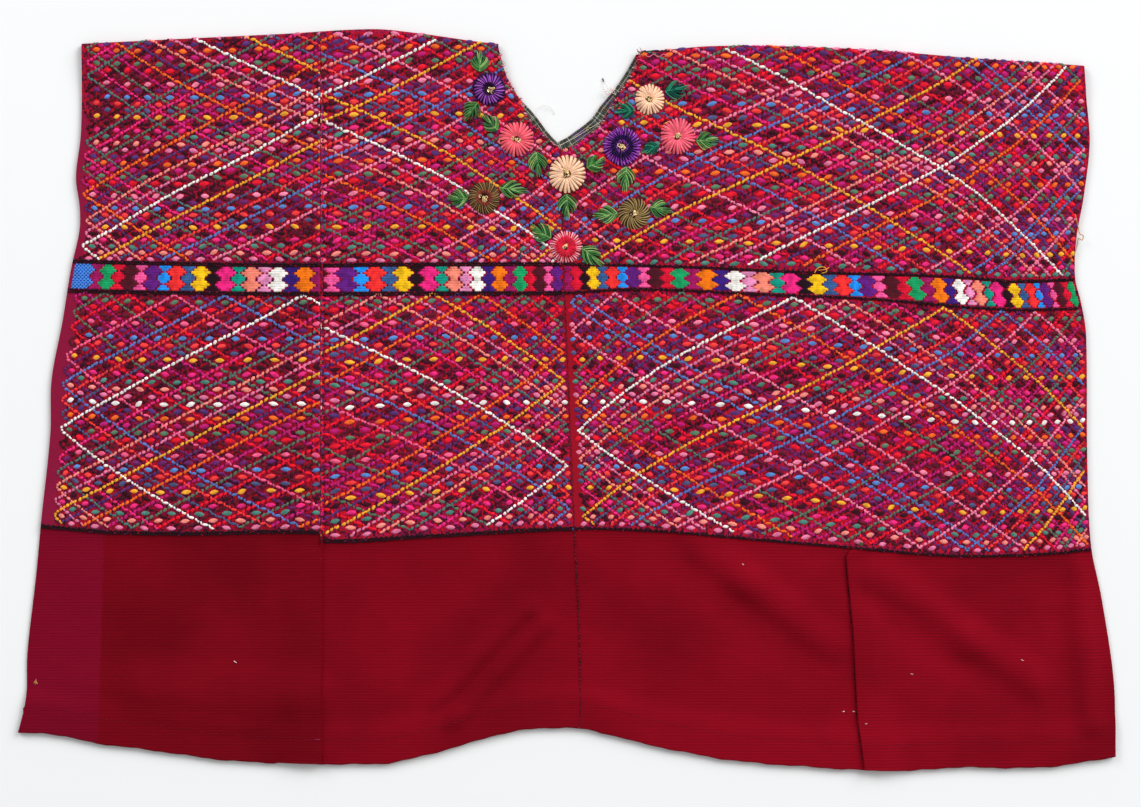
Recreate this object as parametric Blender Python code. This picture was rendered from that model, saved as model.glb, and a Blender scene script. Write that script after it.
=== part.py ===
# Huipil blouse laid flat on its back, front upwards.
#
# Two hand-woven panels, left and right, are each folded over the shoulder and
# meet at a centre seam under a V neck. Brocade covers them down to a dark line,
# and plain cloth runs from there to a folded hem. One long tuck takes in the left
# panel, a shorter dart takes in the right one, and nine wrapped rosettes with
# seventeen leaves are sewn round the neck.
#
# Tables and named sizes are in millimetres, and MM turns them into metres. X runs
# across the blouse, Y up towards the shoulders, Z up from the surface it lies on.

import math

import bpy
from mathutils import Vector
from mathutils.bvhtree import BVHTree

MM = 0.001

# Cloth
BROCADE_WALL = 1.5
PLAIN_WALL = 1.0
WALL_STEP = 8.0  # height over which the brocade's wall thins to the plain one
GAP = 0.3  # clear space between layers that rest on each other, and at seams

# Shoulder fold: the cloth's middle turns on this radius, then settles on the back
FOLD_RADIUS = 2.3
FOLD_STEPS = 4
SETTLE = 45.0

# Folded hem
HEM_DEPTH = 20.0
HEM_WALL = 1.0
HEM_INSET = 1.0  # the turned-up cloth stays this far inside the hem and the side edge
HEM_COLUMNS = 12
HEM_MARGIN = 2.0  # the front stays lifted this far above the turned-up cloth
HEM_BLEND = 16.0  # and comes down over this height

# Neck facing, a strip sewn on the inner face of the back's V
FACING_WIDTH = 13.0
FACING_WALL = 1.0
FACING_INSET = 0.2
FACING_STOP = 3.0  # it ends this far below the shoulder fold
FACING_MARGIN = 10.0
FACING_BLEND = 32.0

# Tucks: three layers, with a ramp where the top one comes down again
TUCK_RAMP = 24.0
TUCK_GAP = 0.6  # clear space between the layers of a tuck, which is springy
TUCK_CLEAR = 2.0
TUCK_STEPS = 3
TUCK_REACH = 38.0  # width that the tuck's columns spread over where it has opened flat

# Panel grid
COLUMNS_TO_TUCK = 7
COLUMNS_PAST_TUCK = 5
EDGE_SETTLE = 18.0

# Rosettes and leaves
ROSETTE_RAYS = 16
ROSETTE_HIGH = 3.4
ROSETTE_RIM = 1.7
ROSETTE_EYE = 1.6
ROSETTE_GROOVE = 0.7
LEAF_HIGH = 2.2
LEAF_RIM = 1.0
LEAF_PAIRS = 4
APPLIQUE_GAP = 0.4

# Outer edge of the shoulder fold: x, y
SHOULDER = (
    (-398, 292), (-317, 296), (-235, 300), (-160, 304), (-125, 301), (-57, 292),
    (61, 286), (117, 290), (175, 290), (250, 287), (323, 281), (424, 274),
)

# Hem edge: x, y
HEM = (
    (-450, -273), (-426, -273), (-386, -281), (-339, -287), (-289, -294), (-248, -297),
    (-155, -298), (-129, -294), (-84, -282), (-57, -274), (-25, -269), (10, -269),
    (43, -276), (61, -281), (128, -294), (179, -299), (271, -304), (316, -301),
    (387, -301), (428, -296), (450, -292),
)

# Lower edge of the brocade: x, y
BROCADE_EDGE = (
    (-431, -104), (-373, -109), (-306, -110), (-203, -109), (-202, -114), (-111, -112),
    (5, -106), (78, -108), (136, -113), (229, -121), (316, -128), (387, -127), (430, -123),
)

# Side edges, open above the armhole's foot and sewn below it: y, x
LEFT_EDGE = (
    (-273, -450), (-246, -444), (-208, -443), (-146, -436), (-104, -432), (-28, -424),
    (16, -423), (64, -414), (107, -407), (139, -400), (159, -400), (182, -403),
    (217, -399), (261, -398), (292, -398),
)
RIGHT_EDGE = (
    (-292, 450), (-232, 449), (-164, 439), (-119, 430), (-50, 427), (54, 426),
    (79, 422), (100, 417), (132, 418), (166, 424), (211, 429), (248, 426), (274, 424),
)

# Centre seam and the two sides of each V: y, x
NECK_POINT = 205.0
BACK_NECK_POINT = 211.0
CENTRE_SEAM = ((-269, 10), (-256, 11), (-189, 10), (-104, 6), (86, -2), (111, -3), (205, -5), (211, -8))
FRONT_NECK_LEFT = (
    (205, -5), (213, -15), (219, -21), (229, -31), (246, -38), (250, -41), (267, -50), (292, -57),
)
FRONT_NECK_RIGHT = (
    (205, -5), (208, 6), (215, 15), (224, 27), (229, 30), (241, 37), (250, 42), (263, 51),
    (271, 55), (286, 61),
)
BACK_NECK_LEFT = (
    (211, -8), (216, -13), (222, -18), (233, -26), (246, -38), (252, -44), (267, -52), (292, -58),
)
BACK_NECK_RIGHT = (
    (211, -8), (213, -3), (220, 7), (230, 20), (240, 27), (252, 37), (260, 43), (271, 50),
    (282, 56), (287, 58),
)

# Tucks: y, x of the folded edge, depth of the flap, and 1 folded to 0 opened flat
LEFT_TUCK = (
    (-300, -201, 11, 1), (248, -202, 11, 1), (257, -202, 3, 1), (266, -202, 0.5, 1),
    (274, -202, 0.5, 0.82), (283, -202, 0.5, 0.5), (291, -202, 0.5, 0), (300, -202, 0.5, 0),
)
RIGHT_TUCK = (
    (-301, 244, 9, 1), (-264, 239, 9, 1), (-193, 235, 8, 1), (-178, 233, 4, 1),
    (-166, 232, 0.5, 1), (-155, 231, 0.5, 0.82), (-144, 230, 0.5, 0.5), (-129, 229, 0.5, 0),
    (290, 226, 0.5, 0),
)

# Soft creases and swells of the front: x0, y0, x1, y1, half width, height
CREASES = (
    (-30, -181, -104, -259, 24, 2.4),
    (60, -170, 150, -262, 46, 2.0),
    (150, -135, 214, -205, 34, 1.8),
    (262, -140, 352, -236, 30, 2.2),
    (404, -150, 420, -262, 22, 1.6),
    (-400, -232, -260, -262, 24, 1.4),
    (-395, -150, -330, -170, 34, 1.2),
    (-330, 236, -270, 150, 52, 1.4),
    (-150, 230, -110, 160, 40, 1.0),
    (150, 240, 260, 190, 54, 1.5),
    (330, 230, 380, 150, 44, 1.3),
    (-340, 50, -260, -60, 50, 1.3),
    (-110, 40, -70, -60, 44, 1.2),
    (90, 40, 170, -50, 54, 1.6),
    (310, 50, 370, -70, 46, 1.5),
)

# Rows of the panel grid: from one cross line to the next, at these shares
FRONT_ROWS = (
    ("hem", "hem_top", (0, 1)),
    ("hem_top", "plain_top", (0.15, 0.3, 0.45, 0.58, 0.68, 0.76, 0.83, 0.9, 1)),
    ("plain_top", "brocade", (1,)),
    ("brocade", "neck_point", (0.14, 0.28, 0.42, 0.56, 0.7, 0.82, 0.92, 1)),
    ("neck_point", "shoulder", (0.04, 0.11, 0.22, 0.34, 0.46, 0.56, 0.65, 0.74, 0.83, 0.92, 1)),
)
BACK_ROWS = (
    ("shoulder", "back_neck_point", (0, 0.2, 0.4, 0.6, 0.8, 0.92, 1)),
    ("back_neck_point", "brocade", (0.33, 0.66, 1)),
    ("brocade", "plain_top", (1,)),
    ("plain_top", "hem", (0.5, 1)),
)

# Rosettes: name, x, y, radius, colour
ROSETTES = (
    ("violet_upper", -63.8, 254.4, 13.2, (0.16, 0.03, 0.22)),
    ("coral_left", -41.3, 213.5, 13.9, (0.78, 0.16, 0.17)),
    ("peach_centre", 0.2, 184.9, 14.9, (0.86, 0.52, 0.36)),
    ("olive_left", -67.8, 165.5, 13.0, (0.26, 0.17, 0.09)),
    ("rose_low", -0.8, 125.1, 12.8, (0.80, 0.08, 0.14)),
    ("peach_right", 67.8, 246.0, 12.1, (0.86, 0.56, 0.40)),
    ("violet_lower", 45.2, 207.5, 15.1, (0.16, 0.03, 0.24)),
    ("coral_right", 90.9, 215.9, 14.3, (0.78, 0.15, 0.17)),
    ("olive_right", 54.9, 152.3, 12.5, (0.26, 0.19, 0.08)),
)

# Leaves: x, y of the middle, direction of the tip, length, width
LEAVES = (
    (-71.5, 276.5, 92, 14, 11),
    (-78.5, 236.5, 232, 15, 11),
    (-62.5, 226.5, 135, 15, 10),
    (-24.0, 193.5, 277, 17, 12),
    (-44.5, 172.4, -6, 19, 11),
    (-89.0, 165.0, 178, 14, 12),
    (-21.0, 137.0, 148, 16, 12),
    (0.0, 159.0, 270, 17, 12),
    (23.3, 193.5, 28, 14, 11),
    (48.2, 181.5, 265, 17, 11),
    (68.6, 205.8, 200, 13, 8),
    (114.5, 212.6, 3, 15, 11),
    (47.8, 236.6, 182, 14, 10),
    (89.6, 254.2, 10, 17, 11),
    (32.2, 151.6, 184, 17, 11),
    (76.4, 156.4, -10, 15, 11),
    (20.4, 117.6, -40, 19, 11),
)
LEAF_GREEN = (0.07, 0.19, 0.05)
CLOTH_RED = (0.26, 0.006, 0.02)
BROCADE_RED = (0.36, 0.02, 0.07)
FACING_GREY = (0.08, 0.08, 0.07)


def smooth(share):
    """0 to 1 with level ends."""
    share = min(1.0, max(0.0, share))
    return share * share * (3 - 2 * share)


def read(table, key):
    """The other columns of a table at a value of its first one."""
    last = table[0]
    if key <= last[0]:
        return last[1:]
    for row in table[1:]:
        if key <= row[0]:
            share = (key - last[0]) / (row[0] - last[0])
            return tuple(a + (b - a) * share for a, b in zip(last[1:], row[1:]))
        last = row
    return last[1:]


def across(table, key):
    return read(table, key)[0]


CROSS_LINES = {
    "hem": lambda x: across(HEM, x),
    "hem_top": lambda x: across(HEM, x) + HEM_DEPTH,
    "plain_top": lambda x: across(BROCADE_EDGE, x) - WALL_STEP,
    "brocade": lambda x: across(BROCADE_EDGE, x),
    "neck_point": lambda x: NECK_POINT,
    "back_neck_point": lambda x: BACK_NECK_POINT,
    "shoulder": lambda x: across(SHOULDER, x) - FOLD_RADIUS - BROCADE_WALL / 2,
}


def wall(x, y):
    """The cloth is thick where it is brocaded, and thins just below."""
    share = min(1.0, max(0.0, (y - CROSS_LINES["plain_top"](x)) / WALL_STEP))
    return PLAIN_WALL + (BROCADE_WALL - PLAIN_WALL) * share


def segment_distance(x, y, x0, y0, x1, y1):
    along_x, along_y = x1 - x0, y1 - y0
    share = ((x - x0) * along_x + (y - y0) * along_y) / (along_x**2 + along_y**2)
    share = min(1.0, max(0.0, share))
    return math.hypot(x - x0 - share * along_x, y - y0 - share * along_y)


def neck_distance(x, y):
    """Distance to the back's V, on the side where its facing lies."""
    best = math.inf
    for table in (BACK_NECK_LEFT, BACK_NECK_RIGHT):
        for (y0, x0), (y1, x1) in zip(table, table[1:]):
            best = min(best, segment_distance(x, y, x0, y0, x1, y1))
    return best


def crease(x, y):
    """Height of the soft creases, which die out at the side edges."""
    height = 0.0
    for x0, y0, x1, y1, half, rise in CREASES:
        near = segment_distance(x, y, x0, y0, x1, y1) / half
        if near < 1:
            height += rise * (1 - near * near) ** 2
    edge = min(x - across(LEFT_EDGE, y), across(RIGHT_EDGE, y) - x)
    return height * smooth(edge / EDGE_SETTLE)


def front_height(x, y):
    """Middle of the front's cloth: it lies on the back, the facing and the hem's folds."""
    own = wall(x, y)
    rest = own + GAP
    fold_rise = 2 * FOLD_RADIUS - own - GAP
    below_fold = CROSS_LINES["shoulder"](x) - y
    over_fold = fold_rise * smooth(1 - below_fold / SETTLE)
    off_facing = neck_distance(x, y) - FACING_WIDTH - FACING_MARGIN
    over_facing = (FACING_WALL + GAP) * smooth(1 - off_facing / FACING_BLEND)
    above_hem = y - CROSS_LINES["hem_top"](x) - HEM_MARGIN
    over_hem = 2 * (HEM_WALL + GAP) * smooth(1 - above_hem / HEM_BLEND)
    return rest + max(over_fold, over_facing, over_hem) + crease(x, y) + own / 2


def tuck_section(depth, folded, thick):
    """One tuck from the centre side outwards: offsets from its folded edge, and heights."""
    pitch = thick + TUCK_GAP
    turn = pitch / 2
    section = [(0.0, 0.0)]
    for step in range(TUCK_STEPS + 1):
        angle = math.radians(-90 + 180 * step / TUCK_STEPS)
        section.append((turn + depth + turn * math.cos(angle), turn + turn * math.sin(angle)))
    for step in range(TUCK_STEPS + 1):
        angle = math.radians(-90 - 180 * step / TUCK_STEPS)
        section.append((turn + turn * math.cos(angle), 3 * turn + turn * math.sin(angle)))
    top = 2 * pitch
    clear = depth + pitch + TUCK_CLEAR
    for share in (0, 0.35, 0.7, 1):
        section.append((clear + share * TUCK_RAMP, top * smooth(1 - share)))
    last = len(section) - 1
    return [
        (folded * out + (1 - folded) * TUCK_REACH * k / last, folded * up)
        for k, (out, up) in enumerate(section)
    ]


def edge_point(row_y, table):
    """Where a grid row meets an edge that leans: x is looked up until both agree."""
    x = table[-1][1]
    for _ in range(6):
        x = across(table, row_y(x))
    return x


def row_height(first, second, share):
    return lambda x: CROSS_LINES[first](x) * (1 - share) + CROSS_LINES[second](x) * share


def grid_row(side, row_y, centre_table, tuck_table, tuck_folds, seam_gap=GAP / 2):
    """Points x, y, rise of one row, from the centre seam or the V out to the side edge."""
    side_table = LEFT_EDGE if side < 0 else RIGHT_EDGE
    inner = edge_point(row_y, centre_table) + side * seam_gap
    outer = edge_point(row_y, side_table)
    tuck_x, depth, folded = read(tuck_table, row_y(tuck_table[0][1]))
    if not tuck_folds:
        folded = 0.0
    tuck_y = row_y(tuck_x)
    section = tuck_section(depth, folded, wall(tuck_x, tuck_y))
    xs = [(inner + (tuck_x - inner) * k / COLUMNS_TO_TUCK, 0.0) for k in range(COLUMNS_TO_TUCK)]
    xs += [(tuck_x + side * out, up) for out, up in section]
    last = xs[-1][0]
    xs += [
        (last + (outer - last) * (k + 1) / COLUMNS_PAST_TUCK, 0.0) for k in range(COLUMNS_PAST_TUCK)
    ]
    return [(x, row_y(x), up) for x, up in xs]


def panel_middle(side):
    """The middle of one folded panel's cloth, row by row, and its wall at each point."""
    front_neck = FRONT_NECK_LEFT if side < 0 else FRONT_NECK_RIGHT
    back_neck = BACK_NECK_LEFT if side < 0 else BACK_NECK_RIGHT
    tuck_table = LEFT_TUCK if side < 0 else RIGHT_TUCK
    rows = []
    for first, second, shares in FRONT_ROWS:
        centre = front_neck if first == "neck_point" else CENTRE_SEAM
        for share in shares:
            row = grid_row(side, row_height(first, second, share), centre, tuck_table, True)
            rows.append([(x, y, front_height(x, y) + up, wall(x, y)) for x, y, up in row])
    level = BROCADE_WALL / 2 + FOLD_RADIUS
    for step in range(1, FOLD_STEPS):
        angle = math.radians(90 - 180 * step / FOLD_STEPS)
        out, up = FOLD_RADIUS * math.cos(angle), level + FOLD_RADIUS * math.sin(angle)
        rows.append([(x, y + out, up, thick) for x, y, _, thick in rows[-step]])
    for first, second, shares in BACK_ROWS:
        centre = back_neck if first == "shoulder" else CENTRE_SEAM
        for share in shares:
            row = grid_row(side, row_height(first, second, share), centre, tuck_table, False)
            rows.append([(x, y, wall(x, y) / 2, wall(x, y)) for x, y, _ in row])
    return rows


def thicken(rows, side):
    """The outer and inner points of a wall whose middle is this grid."""
    points = [[Vector(point[:3]) for point in row] for row in rows]
    outer, inner = [], []
    for i, row in enumerate(points):
        above, below = points[max(i - 1, 0)], points[min(i + 1, len(points) - 1)]
        outer.append([])
        inner.append([])
        for j, point in enumerate(row):
            along = row[min(j + 1, len(row) - 1)] - row[max(j - 1, 0)]
            normal = side * along.cross(below[j] - above[j]).normalized()
            reach = normal * rows[i][j][3] / 2
            outer[-1].append(point + reach)
            inner[-1].append(point - reach)
    return outer, inner


def material(name, colour, roughness=0.85):
    made = bpy.data.materials.new(name)
    made.use_nodes = True
    shader = made.node_tree.nodes["Principled BSDF"]
    shader.inputs["Base Color"].default_value = (*colour, 1)
    shader.inputs["Roughness"].default_value = roughness
    shader.inputs["Metallic"].default_value = 0
    return made


def solid(name, points, faces, materials, smooth_shaded=False):
    """A closed mesh object from points in millimetres. A face may carry a material's index."""
    mesh = bpy.data.meshes.new(name)
    mesh.from_pydata([Vector(p) * MM for p in points], [], [face[0] for face in faces])
    for used in materials:
        mesh.materials.append(used)
    for polygon, (_, index) in zip(mesh.polygons, faces):
        polygon.material_index = index
    made = bpy.data.objects.new(name, mesh)
    bpy.context.collection.objects.link(made)
    if smooth_shaded:
        mesh.shade_smooth()
        mesh.set_sharp_from_angle(angle=math.radians(50))
    return made


def wall_solid(name, outer, inner, materials, index_of_row, flip):
    """Closes two matching grids into one wall."""
    count, width = len(outer), len(outer[0])
    points = [p for row in outer for p in row] + [p for row in inner for p in row]
    under = count * width
    faces = []

    def add(corners, index):
        faces.append((corners if not flip else corners[::-1], index))

    for i in range(count - 1):
        for j in range(width - 1):
            a, b = i * width + j, i * width + j + 1
            c, d = b + width, a + width
            for corners in ((a, b, c), (a, c, d)):
                add(corners, index_of_row(i))
                add(tuple(under + corner for corner in reversed(corners)), index_of_row(i))
    for i in range(count - 1):
        for j, turned in ((0, True), (width - 1, False)):
            a, d = i * width + j, (i + 1) * width + j
            ring = (a, d, under + d, under + a)
            add(ring if turned else ring[::-1], index_of_row(i))
    for j in range(width - 1):
        for i, turned in ((0, False), (count - 1, True)):
            a, b = i * width + j, i * width + j + 1
            ring = (a, b, under + b, under + a)
            add(ring if turned else ring[::-1], index_of_row(min(i, count - 2)))
    return solid(name, points, faces, materials, True)


def make_panel(name, side, cloth):
    rows = panel_middle(side)
    outer, inner = thicken(rows, side)
    front_plain = sum(len(shares) for _, _, shares in FRONT_ROWS[:3]) - 1
    back_plain = len(rows) - sum(len(shares) for _, _, shares in BACK_ROWS[2:]) - 1

    def row_material(i):
        return 1 if i < front_plain or i >= back_plain else 0

    return wall_solid(name, outer, inner, cloth, row_material, flip=side < 0)


def make_hem(name, side, lowest, cloth):
    """The turned-up cloth inside the hem, a strip that follows its curve."""
    side_table = LEFT_EDGE if side < 0 else RIGHT_EDGE
    outer, inner = [], []
    for share in (0, 1):
        row_y = row_height("hem", "hem_top", share)
        start = edge_point(row_y, CENTRE_SEAM) + side * GAP
        end = edge_point(row_y, side_table) - side * HEM_INSET
        row = []
        for k in range(HEM_COLUMNS + 1):
            x = start + (end - start) * k / HEM_COLUMNS
            row.append((x, row_y(x) + (HEM_INSET if share == 0 else 0), lowest))
        inner.append(row)
        outer.append([(x, y, z + HEM_WALL) for x, y, z in row])
    return wall_solid(name, outer, inner, [cloth], lambda i: 0, flip=side < 0)


def make_facing(cloth):
    """A strip along the back's V, on its inner face, from one neck corner to the other."""
    reach = CROSS_LINES["shoulder"](0) - FACING_STOP
    left = [(x, y) for y, x in reversed(BACK_NECK_LEFT) if y < reach]
    right = [(x, y) for y, x in BACK_NECK_RIGHT[1:] if y < reach]
    path = [(across(BACK_NECK_LEFT, reach), reach)] + left + right
    path.append((across(BACK_NECK_RIGHT, reach), reach))
    edge, far = [], []
    for k, (x, y) in enumerate(path):
        before, after = path[max(k - 1, 0)], path[min(k + 1, len(path) - 1)]
        along = Vector((after[0] - before[0], after[1] - before[1])).normalized()
        edge.append((x + along.y * FACING_INSET, y - along.x * FACING_INSET))
        far.append((x + along.y * FACING_WIDTH, y - along.x * FACING_WIDTH))
    low = BROCADE_WALL + GAP
    inner = [[(x, y, low) for x, y in line] for line in (edge, far)]
    outer = [[(x, y, low + FACING_WALL) for x, y in line] for line in (edge, far)]
    return wall_solid("neck_facing", outer, inner, [cloth], lambda i: 0, flip=True)


def surface_finder(objects):
    """A function that gives the height of these objects' top at x, y."""
    trees = []
    for made in objects:
        mesh = made.data
        points = [v.co / MM for v in mesh.vertices]
        trees.append(BVHTree.FromPolygons(points, [tuple(p.vertices) for p in mesh.polygons]))

    def height(x, y):
        found = -math.inf
        for nudge in (0.0, 0.8, -0.8):
            for tree in trees:
                hit = tree.ray_cast(Vector((x + nudge, y, 50)), Vector((0, 0, -1)))[0]
                if hit is not None:
                    found = max(found, hit.z)
        return found

    return height


def make_rosette(name, x, y, radius, colour, height):
    """Wrapped rays round an eye: ridges and grooves in the top over a plain underside."""
    around = 2 * ROSETTE_RAYS
    rings = (  # share of the radius, height of a ridge, depth of a groove
        (0.10, ROSETTE_EYE, 0.0),
        (0.26, ROSETTE_EYE, 0.2),
        (0.48, ROSETTE_HIGH, 0.5),
        (0.84, ROSETTE_RIM + 1.0, ROSETTE_GROOVE),
        (1.00, ROSETTE_RIM, ROSETTE_GROOVE),
    )
    points = []
    for share, rise, groove in rings:
        for k in range(around):
            angle = 2 * math.pi * k / around + 0.25 * share
            in_groove = k % 2
            out = radius * share * (1 - (0.07 if in_groove and share == 1 else 0))
            px, py = x + out * math.cos(angle), y + out * math.sin(angle)
            points.append((px, py, height(px, py) + APPLIQUE_GAP + rise - groove * in_groove))
    for px, py, _ in list(points[-around:]):
        points.append((px, py, height(px, py) + APPLIQUE_GAP))
    faces = [(tuple(range(around)), 0)]
    for ring in range(len(rings)):
        for k in range(around):
            a, b = ring * around + k, ring * around + (k + 1) % around
            faces.append(((a, a + around, b + around, b), 0))
    faces.append((tuple(reversed(range(len(rings) * around, len(points)))), 0))
    return solid(name, points, faces, [material(name, colour, 0.7)])


def make_leaf(name, x, y, direction, length, width, cloth, height):
    """A pointed leaf of straight stitches, raised along its middle and notched at the rim."""
    turn = math.radians(direction)
    ahead, sideways = Vector((math.cos(turn), math.sin(turn))), Vector((-math.sin(turn), math.cos(turn)))
    spine, rims = [], {1: [], -1: []}
    for k in range(LEAF_PAIRS + 2):
        share = k / (LEAF_PAIRS + 1)
        spine.append(Vector((x, y)) + ahead * (share - 0.5) * length)
        for hand in (1, -1):
            spread = width / 2 * math.sin(math.pi * min(1, 0.14 + 0.86 * share)) ** 0.7
            rims[hand].append(spine[-1] + sideways * hand * spread + ahead * 0.6)
    outline = rims[1][:-1] + [spine[-1]] + rims[-1][:-1][::-1]
    points = []
    for p in outline:
        points.append((p.x, p.y, height(p.x, p.y) + APPLIQUE_GAP))
    for p in outline:
        points.append((p.x, p.y, height(p.x, p.y) + APPLIQUE_GAP + LEAF_RIM))
    start = len(points)
    for p in spine[:-1]:
        points.append((p.x, p.y, height(p.x, p.y) + APPLIQUE_GAP + LEAF_HIGH))
    count, tip = len(outline), LEAF_PAIRS + 1
    faces = [(tuple(range(count)), 0)]
    for k in range(count):
        after = (k + 1) % count
        faces.append(((k, k + count, after + count, after), 0))
    for k in range(tip):
        right, left = count + k, count + count - 1 - k
        ahead_right, ahead_left = right + 1, left - 1
        if k < tip - 1:
            faces.append(((start + k, start + k + 1, ahead_right, right), 0))
            faces.append(((start + k + 1, start + k, left, ahead_left), 0))
        else:
            faces.append(((start + k, ahead_right, right), 0))
            faces.append(((start + k, left, ahead_left), 0))
    faces.append(((start, count, count + count - 1), 0))
    return solid(name, points, faces, [cloth])


def clear_scene():
    for old in list(bpy.data.objects):
        bpy.data.objects.remove(old)


def main():
    clear_scene()
    plain = material("plain_cloth", CLOTH_RED)
    brocade = material("brocade", BROCADE_RED)
    panels = [
        make_panel("panel_left", -1, [brocade, plain]),
        make_panel("panel_right", 1, [brocade, plain]),
    ]
    for side, word in ((-1, "left"), (1, "right")):
        low = PLAIN_WALL + GAP
        make_hem(f"hem_back_{word}", side, low, plain)
        make_hem(f"hem_front_{word}", side, low + HEM_WALL + GAP, plain)
    make_facing(material("neck_facing", FACING_GREY))
    height = surface_finder(panels)
    for name, x, y, radius, colour in ROSETTES:
        make_rosette(f"rosette_{name}", x, y, radius, colour, height)
    leaf_green = material("leaf_thread", LEAF_GREEN, 0.7)
    for number, row in enumerate(LEAVES, 1):
        make_leaf(f"leaf_{number:02d}", *row, leaf_green, height)


main()
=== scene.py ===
# Huipil blouse laid flat: brocade floats, plain cloth, sewing and wrapped flowers
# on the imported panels. Tables are in millimetres, X across, Y up towards the shoulders.

import bisect
import math
import random
from types import SimpleNamespace

import bpy
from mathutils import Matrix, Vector
from mathutils.bvhtree import BVHTree


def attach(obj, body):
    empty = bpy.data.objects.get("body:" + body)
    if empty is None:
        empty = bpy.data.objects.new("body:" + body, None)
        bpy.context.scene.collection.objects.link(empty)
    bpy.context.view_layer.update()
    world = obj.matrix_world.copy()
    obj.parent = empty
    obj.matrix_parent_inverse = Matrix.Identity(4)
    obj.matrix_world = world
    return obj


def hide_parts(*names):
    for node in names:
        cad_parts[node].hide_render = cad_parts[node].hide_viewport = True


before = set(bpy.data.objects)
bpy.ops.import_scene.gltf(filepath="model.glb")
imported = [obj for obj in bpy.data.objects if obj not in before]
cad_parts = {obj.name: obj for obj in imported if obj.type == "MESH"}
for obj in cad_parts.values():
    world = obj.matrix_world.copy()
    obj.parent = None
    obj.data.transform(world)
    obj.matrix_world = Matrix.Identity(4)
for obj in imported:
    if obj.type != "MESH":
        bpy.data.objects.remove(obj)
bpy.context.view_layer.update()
mm = 0.001

cloth = {
    "brocadeWall": 1.5,
    "plainWall": 1.0,
    "wallStep": 8.0,  # height over which the brocade thins to the plain cloth
    "gap": 0.3,  # between layers, and at the centre seam
    "foldRadius": 2.3,
    "foldSteps": 10,
    "settle": 45.0,  # below the shoulder fold the front comes down over this height
    "hemDepth": 20.0,
    "hemWall": 1.0,
    "hemMargin": 2.0,
    "hemBlend": 16.0,
    "facingWidth": 13.0,
    "facingWall": 1.0,
    "facingMargin": 10.0,
    "facingBlend": 32.0,
    "facingFelt": (160.0, 120.0),  # only this near the middle, and above this height
    "backLift": 0.45,  # the back's cloth starts here, so that its floats stand on the floor
    "neckPoint": 205.0,
    "backNeckPoint": 211.0,
    "halfWidth": 420.0,
    "edgeSettle": 12.0,
    "deepest": -0.15,  # a trough stops where the front meets the back
    "columnsToTuck": 38,
    "columnsPastTuck": 32,
    "rampShares": (0, 0.12, 0.25, 0.4, 0.55, 0.7, 0.85, 1),
}

tuck = {
    "ramp": 24.0,
    "gap": 0.6,
    "clear": 2.0,
    "steps": 7,
    "reach": 38.0,
    "leftX": -202.0,
}


def smooth(share):
    share = min(1.0, max(0.0, share))
    return share * share * (3 - 2 * share)


# a smooth line through a short table of key, value
def curveThrough(pairs):
    keys = [pair[0] for pair in pairs]
    values = [pair[1] for pair in pairs]
    last = len(keys) - 1
    slopes = []
    for k in range(last + 1):
        low, high = max(k - 1, 0), min(k + 1, last)
        slopes.append((values[high] - values[low]) / (keys[high] - keys[low]))

    def at(key):
        key = min(max(key, keys[0]), keys[-1])
        k = min(bisect.bisect_right(keys, key) - 1, last - 1)
        span = keys[k + 1] - keys[k]
        t = (key - keys[k]) / span
        rise = t * t * (3 - 2 * t)
        out = t * (1 - t) * (1 - t) * slopes[k] - t * t * (1 - t) * slopes[k + 1]
        return values[k] + (values[k + 1] - values[k]) * rise + out * span

    return at


shoulder = curveThrough((
    (-398, 292), (-317, 296), (-235, 300), (-160, 304), (-125, 301), (-57, 292),
    (61, 286), (117, 290), (175, 290), (250, 287), (323, 281), (424, 274),
))
hem = curveThrough((
    (-450, -273), (-426, -273), (-386, -281), (-339, -287), (-289, -294), (-248, -297),
    (-155, -298), (-129, -294), (-84, -282), (-57, -274), (-25, -269), (10, -269),
    (43, -276), (61, -281), (128, -294), (179, -299), (271, -304), (316, -301),
    (387, -301), (428, -296), (450, -292),
))
brocadeEdge = curveThrough((
    (-431, -104), (-373, -109), (-306, -110), (-203, -109), (-202, -116), (-111, -112),
    (5, -106), (78, -108), (136, -113), (229, -121), (316, -128), (387, -127), (430, -123),
))
leftEdge = curveThrough((
    (-273, -450), (-246, -444), (-208, -443), (-146, -436), (-104, -432), (-28, -424),
    (16, -423), (64, -414), (107, -407), (139, -400), (159, -400), (182, -403),
    (217, -399), (261, -398), (292, -398),
))
rightEdge = curveThrough((
    (-292, 450), (-232, 449), (-164, 439), (-119, 430), (-50, 427), (54, 426),
    (79, 422), (100, 417), (132, 418), (166, 424), (211, 429), (248, 426), (274, 424),
))
centreSeam = curveThrough((
    (-269, 10), (-256, 11), (-189, 10), (-104, 6), (86, -2), (111, -3), (205, -5), (211, -8),
))
neckLines = {
    "frontLeft": curveThrough((
        (205, -5), (213, -15), (219, -21), (229, -31), (246, -38), (250, -41),
        (267, -50), (292, -57),
    )),
    "frontRight": curveThrough((
        (205, -5), (208, 6), (215, 15), (224, 27), (229, 30), (241, 37), (250, 42),
        (263, 51), (271, 55), (286, 61),
    )),
    "backLeft": curveThrough((
        (211, -8), (216, -13), (222, -18), (233, -26), (246, -38), (252, -44),
        (267, -52), (292, -58),
    )),
    "backRight": curveThrough((
        (211, -8), (213, -3), (220, 7), (230, 20), (240, 27), (252, 37), (260, 43),
        (271, 50), (282, 56), (287, 58),
    )),
}
bandTop = curveThrough((
    (-407, 113.6), (-362, 112.4), (-296, 111), (-235, 110.2), (-202, 110), (-140, 110.8),
    (0, 111), (93, 109), (195, 104.5), (285, 102.2), (334, 99.6), (365, 97.0), (400, 97.8),
    (425, 99.2),
))
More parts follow.
